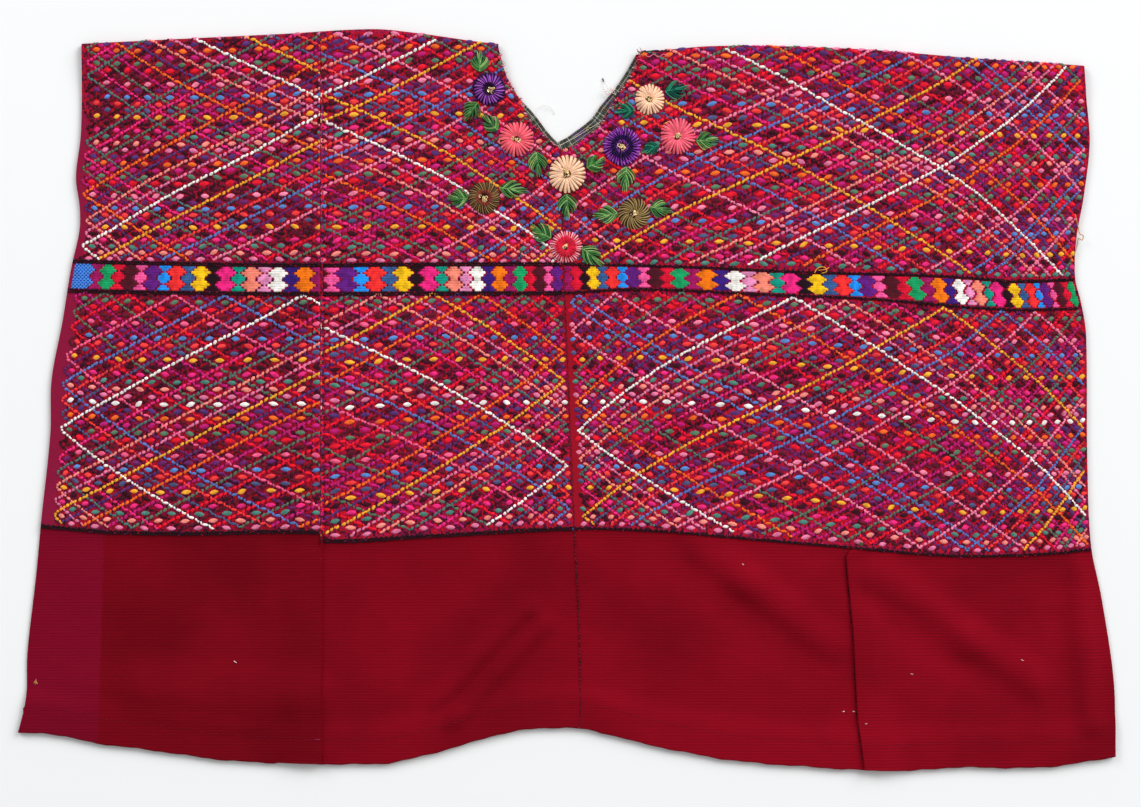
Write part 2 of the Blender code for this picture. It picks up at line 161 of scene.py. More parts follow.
bandBottom = curveThrough((
    (-412, 89.6), (-385, 88.8), (-340, 87.8), (-296, 87.3), (-240, 86.6), (-202, 86.6),
    (-120, 87), (-5, 87.5), (60, 90.5), (145, 87), (240, 83), (290, 79.2), (318, 76.4),
    (350, 74.4), (373, 73.4), (430, 75),
))

# tucks: y, x of the folded edge, depth of the flap, 1 folded to 0 opened flat
tuckRows = {
    -1: (
        (-300, -202, 11, 1), (248, -202, 11, 1), (257, -202, 3, 1), (266, -202, 0.5, 1),
        (274, -202, 0.5, 0.82), (283, -202, 0.5, 0.5), (291, -202, 0.5, 0),
        (300, -202, 0.5, 0),
    ),
    1: (
        (-301, 244, 9, 1), (-264, 239, 9, 1), (-193, 235, 8, 1), (-172, 233, 5, 1),
        (-156, 231.5, 2.5, 1), (-146, 230.5, 0.5, 1), (-129, 229.2, 0.5, 1),
        (-125, 229, 0.5, 0.8), (-121.5, 229, 0.5, 0.5), (-117, 229, 0.5, 0),
        (290, 226, 0.5, 0),
    ),
}

# soft swells of the front: x0, y0, x1, y1, half width, height
swells = (
    (-19, -183, -93, -261, 13, 4.2),
    (-31, -171, -105, -249, 13, 3.2),
    (-60, -150, -140, -236, 26, 2.4),
    (-350, -236, -214, -246, 31, 4.8),
    (70, -158, 176, -240, 40, 2.8),
    (110, -120, 148, -151, 23, 4.0),
    (148, -151, 214, -200, 23, 4.4),
    (158, -122, 230, -168, 44, 2.6),
    (240, -196, 340, -266, 34, 1.8),
    (256, -143, 330, -198, 23, 4.4),
    (330, -198, 384, -233, 23, 4.2),
    (290, -122, 400, -192, 44, 2.4),
    (380, -160, 384, -262, 24, 1.2),
    (422, -140, 430, -262, 17, 4.6),
    (258, 79, 58, -28, 15, 3.0),
    (290, 58, 78, -54, 15, 3.0),
    (-400, -232, -260, -262, 24, 1.4),
    (-395, -150, -330, -170, 34, 1.2),
    (-330, 236, -270, 150, 52, 1.4),
    (-150, 230, -110, 160, 40, 1.0),
    (150, 240, 260, 190, 54, 1.5),
    (330, 230, 380, 150, 44, 1.3),
    (-340, 50, -260, -60, 50, 1.3),
    (-110, 40, -70, -60, 44, 1.2),
    (90, 40, 170, -50, 54, 1.6),
    (310, 50, 370, -70, 46, 1.5),
)

# finer creases, the same columns; a minus height is a trough
creases = (
    (87, -136, 133, -170, 20, -1.6),
    (139, -173, 206, -227, 22, -1.6),
    (240, -157, 276, -181, 16, -1.5),
    (281, -184, 373, -248, 20, -1.5),
    (403, -132, 399, -176, 13, -1.5),
    (401, -182, 411, -264, 14, -1.6),
    (-30, -181, -104, -259, 8, -2.6),
    (-300, -277, -218, -279, 6, -1.0),
    (287, 76, 226, 42, 10, -2.2),
    (218, 38, 166, 9, 10, -2.4),
    (158, 4, 67, -41, 10, -2.4),
    (-374, 30, -300, -10, 16, -1.0),
    (-40, 30, -110, -50, 16, -0.9),
    (240, -128, 250, -262, 7, -0.8),
    (-12, -172, -58, -222, 9, 0.7),
    (-62, -226, -112, -262, 7, -0.5),
    (-20, -200, -70, -252, 6, -0.4),
    (96, -138, 196, -212, 11, -0.6),
    (120, -176, 218, -236, 9, 0.5),
    (262, -152, 318, -196, 10, -0.6),
    (300, -196, 352, -246, 12, 0.6),
    (376, -176, 402, -256, 9, -0.6),
    (410, -138, 424, -200, 8, 0.5),
    (-440, -262, -380, -268, 5, -0.6),
    (-378, -250, -250, -272, 7, 0.4),
    (-300, -140, -240, -230, 16, -0.35),
    (-190, -150, -176, -250, 8, -0.5),
    (252, -140, 262, -262, 6, -0.5),
    (-40, -120, -30, -200, 12, -0.4),
)


def readRow(table, key):
    last = table[0]
    if key <= last[0]:
        return last[1:]
    for row in table[1:]:
        if key <= row[0]:
            share = (key - last[0]) / (row[0] - last[0])
            return tuple(a + (b - a) * share for a, b in zip(last[1:], row[1:]))
        last = row
    return last[1:]


crossLines = {
    "hem": hem,
    "hemTop": lambda x: hem(x) + cloth["hemDepth"],
    "plainTop": lambda x: brocadeEdge(x) - cloth["wallStep"],
    "brocade": brocadeEdge,
    "neckPoint": lambda x: cloth["neckPoint"],
    "backNeckPoint": lambda x: cloth["backNeckPoint"],
    "shoulder": lambda x: shoulder(x) - cloth["foldRadius"] - cloth["brocadeWall"] / 2,
}


def wallAt(x, y):
    share = min(1.0, max(0.0, (y - crossLines["plainTop"](x)) / cloth["wallStep"]))
    return cloth["plainWall"] + (cloth["brocadeWall"] - cloth["plainWall"]) * share


def segmentDistance(x, y, x0, y0, x1, y1):
    alongX, alongY = x1 - x0, y1 - y0
    share = ((x - x0) * alongX + (y - y0) * alongY) / (alongX**2 + alongY**2)
    share = min(1.0, max(0.0, share))
    return math.hypot(x - x0 - share * alongX, y - y0 - share * alongY)


neckPath = [(neckLines["backLeft"](y), y) for y in (288, 278, 267, 252, 246, 233, 222, 216, 211)]
neckPath += [(neckLines["backRight"](y), y) for y in (213, 220, 230, 240, 252, 260, 271, 280)]


def neckDistance(x, y):
    within, above = cloth["facingFelt"]
    if y < above or abs(x) > within:
        return math.inf
    return min(
        segmentDistance(x, y, *a, *b) for a, b in zip(neckPath, neckPath[1:])
    )


def creaseHeight(x, y):
    height = 0.0
    for x0, y0, x1, y1, half, rise in swells + creases:
        near = segmentDistance(x, y, x0, y0, x1, y1) / half
        if near < 1:
            height += rise * (1 - near * near) ** 2
    edge = min(x - leftEdge(y), rightEdge(y) - x)
    return max(height, cloth["deepest"]) * smooth(edge / cloth["edgeSettle"])


# middle of the front's cloth: it lies on the back, the facing and the hem's folds
def frontHeight(x, y):
    own = wallAt(x, y)
    foldRise = 2 * cloth["foldRadius"] - own - cloth["gap"]
    overFold = foldRise * smooth(1 - (crossLines["shoulder"](x) - y) / cloth["settle"])
    offFacing = neckDistance(x, y) - cloth["facingWidth"] - cloth["facingMargin"]
    overFacing = (cloth["facingWall"] + cloth["gap"]) * smooth(1 - offFacing / cloth["facingBlend"])
    aboveHem = y - crossLines["hemTop"](x) - cloth["hemMargin"]
    overHem = 2 * (cloth["hemWall"] + cloth["gap"]) * smooth(1 - aboveHem / cloth["hemBlend"])
    rest = own + cloth["gap"] + own / 2
    return rest + max(overFold, overFacing, overHem) + creaseHeight(x, y)


# one tuck from the centre side outwards: offsets from its folded edge, and heights
def tuckSection(depth, folded, thick):
    pitch = thick + tuck["gap"]
    turn = pitch / 2
    section = [(0.0, 0.0)]
    for step in range(tuck["steps"] + 1):
        angle = math.radians(-90 + 180 * step / tuck["steps"])
        section.append((turn + depth + turn * math.cos(angle), turn + turn * math.sin(angle)))
    for step in range(tuck["steps"] + 1):
        angle = math.radians(-90 - 180 * step / tuck["steps"])
        section.append((turn + turn * math.cos(angle), 3 * turn + turn * math.sin(angle)))
    clear = depth + pitch + tuck["clear"]
    for share in cloth["rampShares"]:
        section.append((clear + share * tuck["ramp"], 2 * pitch * smooth(1 - share)))
    last = len(section) - 1
    return [
        (folded * out + (1 - folded) * tuck["reach"] * k / last, folded * up)
        for k, (out, up) in enumerate(section)
    ]


# x where a row meets a line, found from the x before it
def edgePoint(rowY, line, start):
    x = start
    for _ in range(6):
        x = line(rowY(x))
    return x


def rowBetween(first, second, share):
    return lambda x: crossLines[first](x) * (1 - share) + crossLines[second](x) * share


def gridRow(side, rowY, centreLine, tuckFolds):
    inner = edgePoint(rowY, centreLine, 0.0) + side * cloth["gap"] / 2
    outer = edgePoint(rowY, leftEdge if side < 0 else rightEdge, side * cloth["halfWidth"])
    tuckX, depth, folded = readRow(tuckRows[side], rowY(tuckRows[side][0][1]))
    section = tuckSection(depth, folded if tuckFolds else 0.0, wallAt(tuckX, rowY(tuckX)))
    count = cloth["columnsToTuck"]
    row = [(inner + (tuckX - inner) * k / count, 0.0) for k in range(count)]
    row += [(tuckX + side * out, up) for out, up in section]
    last, count = row[-1][0], cloth["columnsPastTuck"]
    row += [(last + (outer - last) * (k + 1) / count, 0.0) for k in range(count)]
    return [(x, rowY(x), up) for x, up in row]


frontRows = (
    ("hem", "hemTop", 5),
    ("hemTop", "plainTop", 32),
    ("plainTop", "brocade", 2),
    ("brocade", "neckPoint", 60),
    ("neckPoint", "shoulder", 22),
)
backRows = (
    ("shoulder", "backNeckPoint", 14),
    ("backNeckPoint", "brocade", 24),
    ("brocade", "plainTop", 2),
    ("plainTop", "hem", 16),
)


# the middle of one folded panel, row by row: x, y, z, wall, slot
def panelMiddle(side):
    word = "Left" if side < 0 else "Right"
    rows = []
    for first, second, count in frontRows:
        centre = neckLines["front" + word] if first == "neckPoint" else centreSeam
        slot = 0 if first in ("brocade", "neckPoint") else 1  # brocade or plain cloth
        for step in range(0 if first == "hem" else 1, count + 1):
            row = gridRow(side, rowBetween(first, second, step / count), centre, True)
            rows.append([
                (x, y, frontHeight(x, y) + up, wallAt(x, y), slot) for x, y, up in row
            ])
    level = cloth["brocadeWall"] / 2 + cloth["foldRadius"]
    crest = rows[-1]
    for step in range(1, cloth["foldSteps"]):
        angle = math.pi * (0.5 - step / cloth["foldSteps"])
        out, up = cloth["foldRadius"] * math.cos(angle), cloth["foldRadius"] * math.sin(angle)
        rows.append([(x, y + out, level + up, thick, slot) for x, y, _, thick, slot in crest])
    for first, second, count in backRows:
        centre = neckLines["back" + word] if first == "shoulder" else centreSeam
        slot = 1 if first in ("brocade", "plainTop") else 0
        for step in range(0 if first == "shoulder" else 1, count + 1):
            row = gridRow(side, rowBetween(first, second, step / count), centre, False)
            rows.append([
                (x, y, (wall + cloth["backLift"]) / 2, wall - cloth["backLift"], slot)
                for x, y, wall in ((x, y, wallAt(x, y)) for x, y, _ in row)
            ])
    return rows


def thicken(rows, side):
    points = [[Vector(point[:3]) for point in row] for row in rows]
    outer, inner = [], []
    for i, row in enumerate(points):
        above, below = points[max(i - 1, 0)], points[min(i + 1, len(points) - 1)]
        outer.append([])
        inner.append([])
        for j, point in enumerate(row):
            along = row[min(j + 1, len(row) - 1)] - row[max(j - 1, 0)]
            normal = side * along.cross(below[j] - above[j]).normalized()
            reach = normal * rows[i][j][3] / 2
            outer[-1].append(point + reach)
            inner[-1].append(point - reach)
    return outer, inner


# a mesh object from points in millimetres, with a slot number for each face
def meshPiece(name, points, faces, slots, materials, sharpAngle=50):
    mesh = bpy.data.meshes.new(name)
    mesh.from_pydata([Vector(p) * mm for p in points], [], faces)
    for used in materials:
        mesh.materials.append(used)
    mesh.polygons.foreach_set("material_index", slots)
    mesh.validate()
    mesh.shade_smooth()
    mesh.set_sharp_from_angle(angle=math.radians(sharpAngle))
    made = bpy.data.objects.new(name, mesh)
    bpy.context.scene.collection.objects.link(made)
    return made


def wallPiece(name, outer, inner, rowSlots, materials, flip):
    count, width = len(outer), len(outer[0])
    points = [p for row in outer for p in row] + [p for row in inner for p in row]
    under = count * width
    faces, slots = [], []

    def add(corners, slot):
        faces.append(corners if not flip else corners[::-1])
        slots.append(slot)

    for i in range(count - 1):
        for j in range(width - 1):
            a, b = i * width + j, i * width + j + 1
            ring = (a, b, b + width, a + width)
            add(ring, rowSlots[i])
            add(tuple(under + corner for corner in reversed(ring)), rowSlots[i])
        for j, turned in ((0, True), (width - 1, False)):
            a, d = i * width + j, (i + 1) * width + j
            ring = (a, d, under + d, under + a)
            add(ring if turned else ring[::-1], rowSlots[i])
    for j in range(width - 1):
        for i, turned in ((0, False), (count - 1, True)):
            a, b = i * width + j, i * width + j + 1
            ring = (a, b, under + b, under + a)
            add(ring if turned else ring[::-1], rowSlots[min(i, count - 2)])
    return meshPiece(name, points, faces, slots, materials)


# ways to make a material: node adds a node, feed links or sets its inputs, and each of the
# others gives the output of a common node
def nodeTools(tree):
    def node(kind, **settings):
        made = tree.nodes.new(kind)
        for key, value in settings.items():
            setattr(made, key, value)
        return made

    def feed(target, *sources):
        for socket, source in sources:
            if hasattr(source, "is_output"):
                tree.links.new(source, target.inputs[socket])
            else:
                target.inputs[socket].default_value = source
        return target

    def place():
        return node("ShaderNodeTexCoord").outputs["Object"]

    def parts(vector):
        return feed(node("ShaderNodeSeparateXYZ"), (0, vector)).outputs

    def stretched(vector, scale):
        return feed(node("ShaderNodeMapping"), ("Vector", vector), ("Scale", scale)).outputs[0]

    def maths(operation, *values):
        return feed(node("ShaderNodeMath", operation=operation), *enumerate(values)).outputs[0]

    def spread(value, low, high, toLow=0.0, toHigh=1.0):
        made = feed(node("ShaderNodeMapRange"), ("Value", value), ("From Min", low), ("From Max", high))
        return feed(made, ("To Min", toLow), ("To Max", toHigh)).outputs[0]

    def noise(vector, scale, detail, roughness=0.5):
        made = feed(node("ShaderNodeTexNoise"), ("Vector", vector), ("Scale", scale))
        return feed(made, ("Detail", detail), ("Roughness", roughness)).outputs["Fac"]

    def bands(vector, direction, scale, bend, detailScale):
        made = node("ShaderNodeTexWave", wave_type="BANDS", bands_direction=direction)
        feed(made, ("Vector", vector), ("Scale", scale), ("Distortion", bend))
        return feed(made, ("Detail", 1.0), ("Detail Scale", detailScale)).outputs["Fac"]

    def mix(factor, first, second, **settings):
        made = node("ShaderNodeMix", data_type="RGBA", **settings)
        return feed(made, (0, factor), (6, first), (7, second)).outputs[2]

    def scaled(colour, level):
        made = node("ShaderNodeVectorMath", operation="SCALE")
        return feed(made, (0, colour), ("Scale", level)).outputs[0]

    def ramp(factor, stops):
        made = feed(node("ShaderNodeValToRGB"), ("Fac", factor))
        elements = made.color_ramp.elements
        elements[0].position, elements[0].color = stops[0]
        elements[1].position, elements[1].color = stops[-1]
        for position, colour in stops[1:-1]:
            elements.new(position).color = colour
        return made.outputs[0]

    def relief(strength, distance, height):
        made = feed(node("ShaderNodeBump"), ("Strength", strength), ("Distance", distance))
        return feed(made, ("Height", height)).outputs[0]

    return SimpleNamespace(
        node=node, feed=feed, place=place, parts=parts, stretched=stretched, maths=maths,
        spread=spread, noise=noise, bands=bands, mix=mix, scaled=scaled, ramp=ramp, relief=relief,
    )


def newGroup(name, inputs, outputs):
    group = bpy.data.node_groups.new(name, "ShaderNodeTree")
    for label, kind, value in inputs:
        socket = group.interface.new_socket(name=label, in_out="INPUT", socket_type=kind)
        socket.default_value = value
    for label, kind in outputs:
        group.interface.new_socket(name=label, in_out="OUTPUT", socket_type=kind)
    entry, leave = group.nodes.new("NodeGroupInput"), group.nodes.new("NodeGroupOutput")
    return group, entry.outputs, leave, nodeTools(group)


floatSocket, colourSocket = "NodeSocketFloat", "NodeSocketColor"


# twisted yarn: fine strands lying across with painted shade in the grooves between them, uneven dye and
# a little wear
def makeYarnGroup():
    group, entry, leave, make = newGroup(
        "yarnStrands",
        (
            ("Colour", colourSocket, (1, 1, 1, 1)),
            ("Strands", floatSocket, 900.0),
            ("Uneven", floatSocket, 0.25),
        ),
        (("Colour", colourSocket), ("Height", floatSocket)),
    )
    place = make.place()
    wave = make.bands(place, "Y", entry["Strands"], 2.5, 0.6)
    shade = make.spread(make.noise(place, 210.0, 2.0), 0.3, 0.7, -1.0, 1.0)
    # painted shade: the colour is darker in the grooves between strands and lighter on their crests
    paintedGrooveShade = make.maths("MULTIPLY_ADD", wave, 0.9, -0.45)
    amount = make.maths("MULTIPLY", make.maths("ADD", shade, paintedGrooveShade), entry["Uneven"])
    tint = make.scaled(entry["Colour"], make.maths("ADD", amount, 1.0))
    rough = make.maths("MULTIPLY_ADD", make.noise(place, 2600.0, 1.0), 0.5, wave)
    make.feed(leave, ("Colour", tint), ("Height", rough))
    return group


# plain weave with raised ribs: warp columns crossed by weft rows
def makeWeaveGroup():
    group, entry, leave, make = newGroup(
        "wovenRibs",
        (
            ("Warp", floatSocket, 800.0),
            ("Weft", floatSocket, 1100.0),
            ("Rib", floatSocket, 260.0),
        ),
        (("Threads", floatSocket), ("Ribs", floatSocket), ("Height", floatSocket)),
    )
    place = make.place()
    warp, weft, rib = (
        make.bands(place, direction, entry[label], bend, 0.5)
        for label, direction, bend in (("Warp", "X", 0.8), ("Weft", "Y", 0.8), ("Rib", "Y", 1.6))
    )
    threads = make.maths("MULTIPLY", warp, weft)
    height = make.maths("MULTIPLY_ADD", rib, 0.8, threads)
    make.feed(leave, ("Threads", threads), ("Ribs", rib), ("Height", height))
    return group


yarnGroup, weaveGroup = makeYarnGroup(), makeWeaveGroup()


# sRGB 0-255 to linear
def dye(red, green, blue):
    return (*(
        c / 12.92 if c <= 0.04045 else ((c + 0.055) / 1.055) ** 2.4
        for c in (red / 255, green / 255, blue / 255)
    ), 1)


clothShine = {"Sheen Roughness": 0.5, "Specular IOR Level": 0.12}


def startMaterial(name, roughness, sheen):
    made = bpy.data.materials.new(name)
    made.use_nodes = True
    shader = made.node_tree.nodes["Principled BSDF"]
    make = nodeTools(made.node_tree)
    make.feed(shader, ("Roughness", roughness), ("Sheen Weight", sheen), *clothShine.items())
    return made, shader, make


def yarnMaterial(name, colour, uneven=0.3, roughness=0.7, bump=0.5):
    made, shader, make = startMaterial(name, roughness, 0.04)
    strands = make.node("ShaderNodeGroup", node_tree=yarnGroup)
    make.feed(strands, ("Colour", colour), ("Strands", 820.0), ("Uneven", uneven))
    ridges = make.relief(bump, 0.0004, strands.outputs["Height"])
    make.feed(shader, ("Base Color", strands.outputs["Colour"]), ("Normal", ridges))
    return made


yarns = {
    "y": ("yellow", 250, 176, 50),
    "s": ("slate", 70, 80, 118),
    "c": ("coral", 236, 58, 58),
    "b": ("blue", 80, 126, 190),
    "p": ("purple", 98, 32, 94),
    "k": ("pink", 236, 126, 158),
    "n": ("brown", 84, 16, 32),
    "r": ("red", 222, 18, 42),
    "g": ("green", 82, 116, 92),
    "m": ("magenta", 180, 24, 106),
    "o": ("orange", 250, 108, 34),
    "v": ("navy", 76, 44, 104),
    "w": ("white", 254, 250, 245),
    "u": ("mauve", 212, 112, 150),
    "a": ("salmon", 250, 144, 132),
    "t": ("teal", 70, 124, 112),
    "h": ("hotPink", 222, 38, 116),
    "x": ("black", 52, 8, 24),
}
# the band's brighter yarns, and the sewing threads
yarns |= {
    "Y": ("bandYellow", 246, 194, 20),
    "S": ("bandSlate", 50, 88, 140),
    "C": ("bandCoral", 246, 48, 48),
    "B": ("bandBlue", 28, 138, 230),
    "P": ("bandPurple", 92, 24, 118),
    "K": ("bandPink", 236, 84, 152),
    "N": ("bandBrown", 72, 14, 28),
    "R": ("bandRed", 206, 14, 46),
    "G": ("bandGreen", 18, 148, 90),
    "M": ("bandMagenta", 150, 16, 88),
    "O": ("bandOrange", 250, 124, 14),
    "V": ("bandNavy", 52, 24, 116),
    "W": ("bandWhite", 254, 250, 244),
    "U": ("bandMauve", 216, 132, 176),
    "A": ("bandSalmon", 250, 140, 118),
    "T": ("bandTeal", 6, 142, 122),
    "H": ("bandHotPink", 224, 34, 122),
    "X": ("blackThread", 30, 8, 20),
    "L": ("blockBlue", 10, 78, 178),
}
# in the diagonal lines the ground greys these
yarns |= {
    "e": ("lineBlue", 82, 112, 178),
    "j": ("lineGreen", 84, 106, 88),
    "q": ("lineTeal", 74, 108, 104),
    "i": ("deepPink", 228, 88, 130),
}
lineYarns = {"b": "e", "g": "j", "t": "q"}
lowerYarns = {"k": "i"}  # the pink left of the seam, under the band, is deeper
yarnLetters = list(yarns)


# the same hue, lighter, as far as its strongest channel goes
def lifted(colour, gain=1.22, top=0.96):
    gain = min(gain, top / max(colour[:3]))
    return (*(c * gain for c in colour[:3]), 1)


yarnMaterials = [
    yarnMaterial(word + "Yarn", lifted(dye(*colour))) for word, *colour in yarns.values()
]
blockLattice = {"period": 0.003, "line": 0.00028, "soft": 0.4, "pale": dye(112, 172, 236)}


# pale crossing threads over the band's blue block
def crossThreads(made):
    make = nodeTools(made.node_tree)
    shader = made.node_tree.nodes["Principled BSDF"]
    plain = shader.inputs["Base Color"].links[0].from_socket
    x, y, _ = make.parts(make.place())
    thin, thick = (blockLattice["line"] * (1 + way * blockLattice["soft"]) for way in (-1, 1))
    lines = []
    for operation in ("ADD", "SUBTRACT"):
        wave = make.maths("PINGPONG", make.maths(operation, x, y), blockLattice["period"] / 2)
        lines.append(make.spread(wave, thin, thick, 1.0, 0.0))
    crossed = make.maths("MAXIMUM", *lines)
    make.feed(shader, ("Base Color", make.mix(crossed, plain, blockLattice["pale"])))


crossThreads(yarnMaterials[yarnLetters.index("L")])
deepYarns = "rmnpxv"  # these sink into the ground, so their floats lie broader and flatter

# in metres: a slanting strip without brocade, to the right of the centre seam
seamStrip = {"slant": 0.044, "middle": 0.0047, "half": 0.0042, "top": 0.0875,
             "colour": dye(152, 8, 32)}
# and a clean margin down the left edge: its width at each height
leftMargin = {
    "low": -120, "high": 300, "from": -450, "reach": 100, "colour": dye(136, 16, 56),
    "edge": (0.0, 0.012, 0.0, 0.92),
    "widths": ((-120, 11.5), (-28, 11.5), (64, 11.5), (88, 9), (115, 7.5), (139, 7), (159, 7),
               (182, 7), (217, 6.5), (232, 5), (244, -4), (300, -6)),
}
# ranges are from, to, value at from, value at to
groundLook = {
    "patches": 95.0,
    "stitches": 560.0,
    "jump": 0.34,  # how far a stitch may stray from its patch's colour
    "stops": (
        (0.32, dye(78, 12, 36)), (0.4, dye(142, 14, 80)), (0.455, dye(206, 13, 30)),
        (0.535, dye(214, 15, 28)), (0.59, dye(174, 18, 90)), (0.68, dye(84, 14, 42)),
    ),
    "uprights": {
        "Scale": 1.0, "Color1": (1, 1, 1, 1), "Color2": (0.6, 0.6, 0.6, 1),
        "Mortar": (0.25, 0.25, 0.25, 1), "Mortar Size": 0.00022, "Mortar Smooth": 0.6,
        "Brick Width": 0.0011, "Row Height": 0.0034,
    },
    "uprightShare": 0.8,
    # painted shade left of the tuck: its level by height, and the x where it ends
    "leftShade": (0.08, 0.12, 0.74, 0.86),
    "tuckEdge": (-0.21, -0.2),
}


# where the left margin ends, as a share of its reach, over the height
def marginCurve(make, y):
    height = make.spread(y, leftMargin["low"] * mm, leftMargin["high"] * mm)
    curve = make.feed(make.node("ShaderNodeFloatCurve"), ("Value", height))
    span = leftMargin["high"] - leftMargin["low"]
    places = [
        ((up - leftMargin["low"]) / span,
         (leftEdge(up) + wide - leftMargin["from"]) / leftMargin["reach"])
        for up, wide in leftMargin["widths"]
    ]
    line = curve.mapping.curves[0]
    line.points[0].location, line.points[1].location = places[0], places[-1]
    for here in places[1:-1]:
        line.points.new(*here)
    for point in line.points:
        point.handle_type = "VECTOR"
    curve.mapping.update()
    return curve.outputs[0]


# the brocade's ground: crimson, magenta and dark wine patches under short upright floats
def groundMaterial():
    made, shader, make = startMaterial("brocadeGround", 0.85, 0.02)
    place = make.place()
    x, y, _ = make.parts(place)
    patches = make.noise(make.stretched(place, (1.0, 1.7, 1.0)), groundLook["patches"], 2.0, 0.6)
    stitches = make.feed(
        make.node("ShaderNodeTexVoronoi"),
        ("Vector", make.stretched(place, (1.0, 0.62, 1.0))), ("Scale", groundLook["stitches"]),
    )
    oneStitch = make.feed(make.node("ShaderNodeSeparateColor"), (0, stitches.outputs["Color"]))
    jump = make.maths(
        "MULTIPLY_ADD", oneStitch.outputs[0], groundLook["jump"], -groundLook["jump"] / 2
    )
    patched = make.ramp(make.maths("ADD", patches, jump), groundLook["stops"])
    uprights = make.feed(
        make.node("ShaderNodeTexBrick", offset=0.5), ("Vector", place),
        *groundLook["uprights"].items(),
    )
    shade = make.mix(
        groundLook["uprightShare"], patched, uprights.outputs["Color"], blend_type="MULTIPLY"
    )
    # painted shade left of the tuck, deepest below the band
    paintedLeftShade = make.spread(x, *groundLook["tuckEdge"], make.spread(y, *groundLook["leftShade"]), 1.0)
    # clean crimson beside the seam, under the band
    slanted = make.maths("MULTIPLY_ADD", y, seamStrip["slant"], x)
    away = make.maths("ABSOLUTE", make.maths("SUBTRACT", slanted, seamStrip["middle"]))
    near = make.maths("LESS_THAN", away, seamStrip["half"])
    inStrip = make.maths("MULTIPLY", near, make.maths("LESS_THAN", y, seamStrip["top"]))
    striped = make.mix(inStrip, make.scaled(shade, paintedLeftShade), seamStrip["colour"])
    along = make.spread(
        x, leftMargin["from"] * mm, (leftMargin["from"] + leftMargin["reach"]) * mm
    )
    inMargin = make.spread(
        make.maths("SUBTRACT", marginCurve(make, y), along), *leftMargin["edge"]
    )
    margined = make.mix(inMargin, striped, leftMargin["colour"])
    ridges = make.relief(0.9, 0.0007, oneStitch.outputs[1])
    make.feed(shader, ("Base Color", margined), ("Normal", ridges))
    return made


# in metres, and the ranges as above
plainLook = {
    "red": dye(138, 7, 27),
    "darkRed": dye(122, 5, 23),
    "selvedge": dye(139, 10, 41),
    "selvedgeEdge": -0.3763,  # the purple selvedge stripe ends at this x, and slants a little
    "selvedgeSlant": -0.0292,
    "selvedgeBlur": 0.002,
    "wander": 0.003,
    "weave": {"Warp": 420.0, "Weft": 224.0, "Rib": 124.0},
    "clouds": (0.35, 0.6),
    "ribs": (-0.05, 0.25, 0.01, 0.16),  # painted light and shade along the ribs; it shows more towards the right
    "baseWithLeftShade": (-0.2025, -0.2015, 0.70, 0.85),  # the base level, with painted shade left of the tuck that darkens the cloth there
    "slub": (0.3, 0.7, -0.07, 0.07),
    "threads": 0.14,
    "farRight": (0.2, 0.29, 1.0, 0.945),
    # where the painted shade by the hem at the left lies, by height and by x
    "hemward": (-0.272, -0.235, 0.12, 0.0),
    "leftward": (-0.24, -0.18, 1.0, 0.0),
}


# the skirt's plain cloth, ribbed along the weft, with the purple selvedge stripe at the left
def plainMaterial():
    made, shader, make = startMaterial("plainCloth", 0.9, 0.0)
    shader.inputs["Specular IOR Level"].default_value = 0.05
    place = make.place()
    x, y, _ = make.parts(place)
    weave = make.node("ShaderNodeGroup", node_tree=weaveGroup)
    make.feed(weave, *plainLook["weave"].items())
    clouds = make.spread(make.noise(place, 9.0, 3.0), *plainLook["clouds"])
    dyed = make.mix(clouds, plainLook["darkRed"], plainLook["red"])
    slanted = make.maths("MULTIPLY_ADD", y, plainLook["selvedgeSlant"], x)
    edge = make.maths("MULTIPLY_ADD", make.noise(place, 400.0, 1.0), plainLook["wander"], slanted)
    stripeEnd = plainLook["selvedgeEdge"]
    inStripe = make.spread(edge, stripeEnd, stripeEnd + plainLook["selvedgeBlur"], 1.0, 0.0)
    striped = make.mix(inStripe, dyed, plainLook["selvedge"])
    # painted light and shade along the ribs, stronger towards the right
    ribs = make.maths("MULTIPLY", weave.outputs["Ribs"], make.spread(x, *plainLook["ribs"]))
    slub = make.noise(make.stretched(place, (1.0, 24.0, 1.0)), 42.0, 3.0, 0.7)
    fine = make.maths(
        "MULTIPLY_ADD", weave.outputs["Threads"], plainLook["threads"],
        make.spread(slub, *plainLook["slub"]),
    )
    # the base level includes the painted shade left of the tuck
    total = make.maths(
        "ADD", make.maths("ADD", ribs, fine), make.spread(x, *plainLook["baseWithLeftShade"])
    )
    # a little darker at the far right, and painted shade by the hem at the left
    paintedHemShade = make.maths(
        "MULTIPLY", make.spread(y, *plainLook["hemward"]), make.spread(x, *plainLook["leftward"])
    )
    share = make.maths("SUBTRACT", make.spread(x, *plainLook["farRight"]), paintedHemShade)
    tint = make.scaled(striped, make.maths("MULTIPLY", total, share))
    ridges = make.relief(0.4, 0.0005, weave.outputs["Height"])
    make.feed(shader, ("Base Color", tint), ("Normal", ridges))
    return made


groundCloth, plainCloth = groundMaterial(), plainMaterial()
print("materials ready")

# the two folded panels
shells, shellTrees = {}, {}
for side, word in ((-1, "left"), (1, "right")):
    middle = panelMiddle(side)
    outer, inner = thicken(middle, side)
    rowSlots = [row[0][4] for row in middle[1:]]
    shells[side] = wallPiece(
        f"{word}Panel", outer, inner, rowSlots, [groundCloth, plainCloth], flip=side < 0
    )
    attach(shells[side], "root")
    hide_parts(f"panel_{word}")
    data = shells[side].data
    shellTrees[side] = BVHTree.FromPolygons(
        [v.co / mm for v in data.vertices], [tuple(p.vertices) for p in data.polygons]
    )
print("panels ready")


aboveAll = 60


# height of a panel's top face
def heightAt(side, x, y):
    hit = shellTrees[side].ray_cast(Vector((x, y, aboveAll)), Vector((0, 0, -1)))[0]
    return None if hit is None else hit.z


foldOuter = cloth["foldRadius"] + cloth["brocadeWall"] / 2
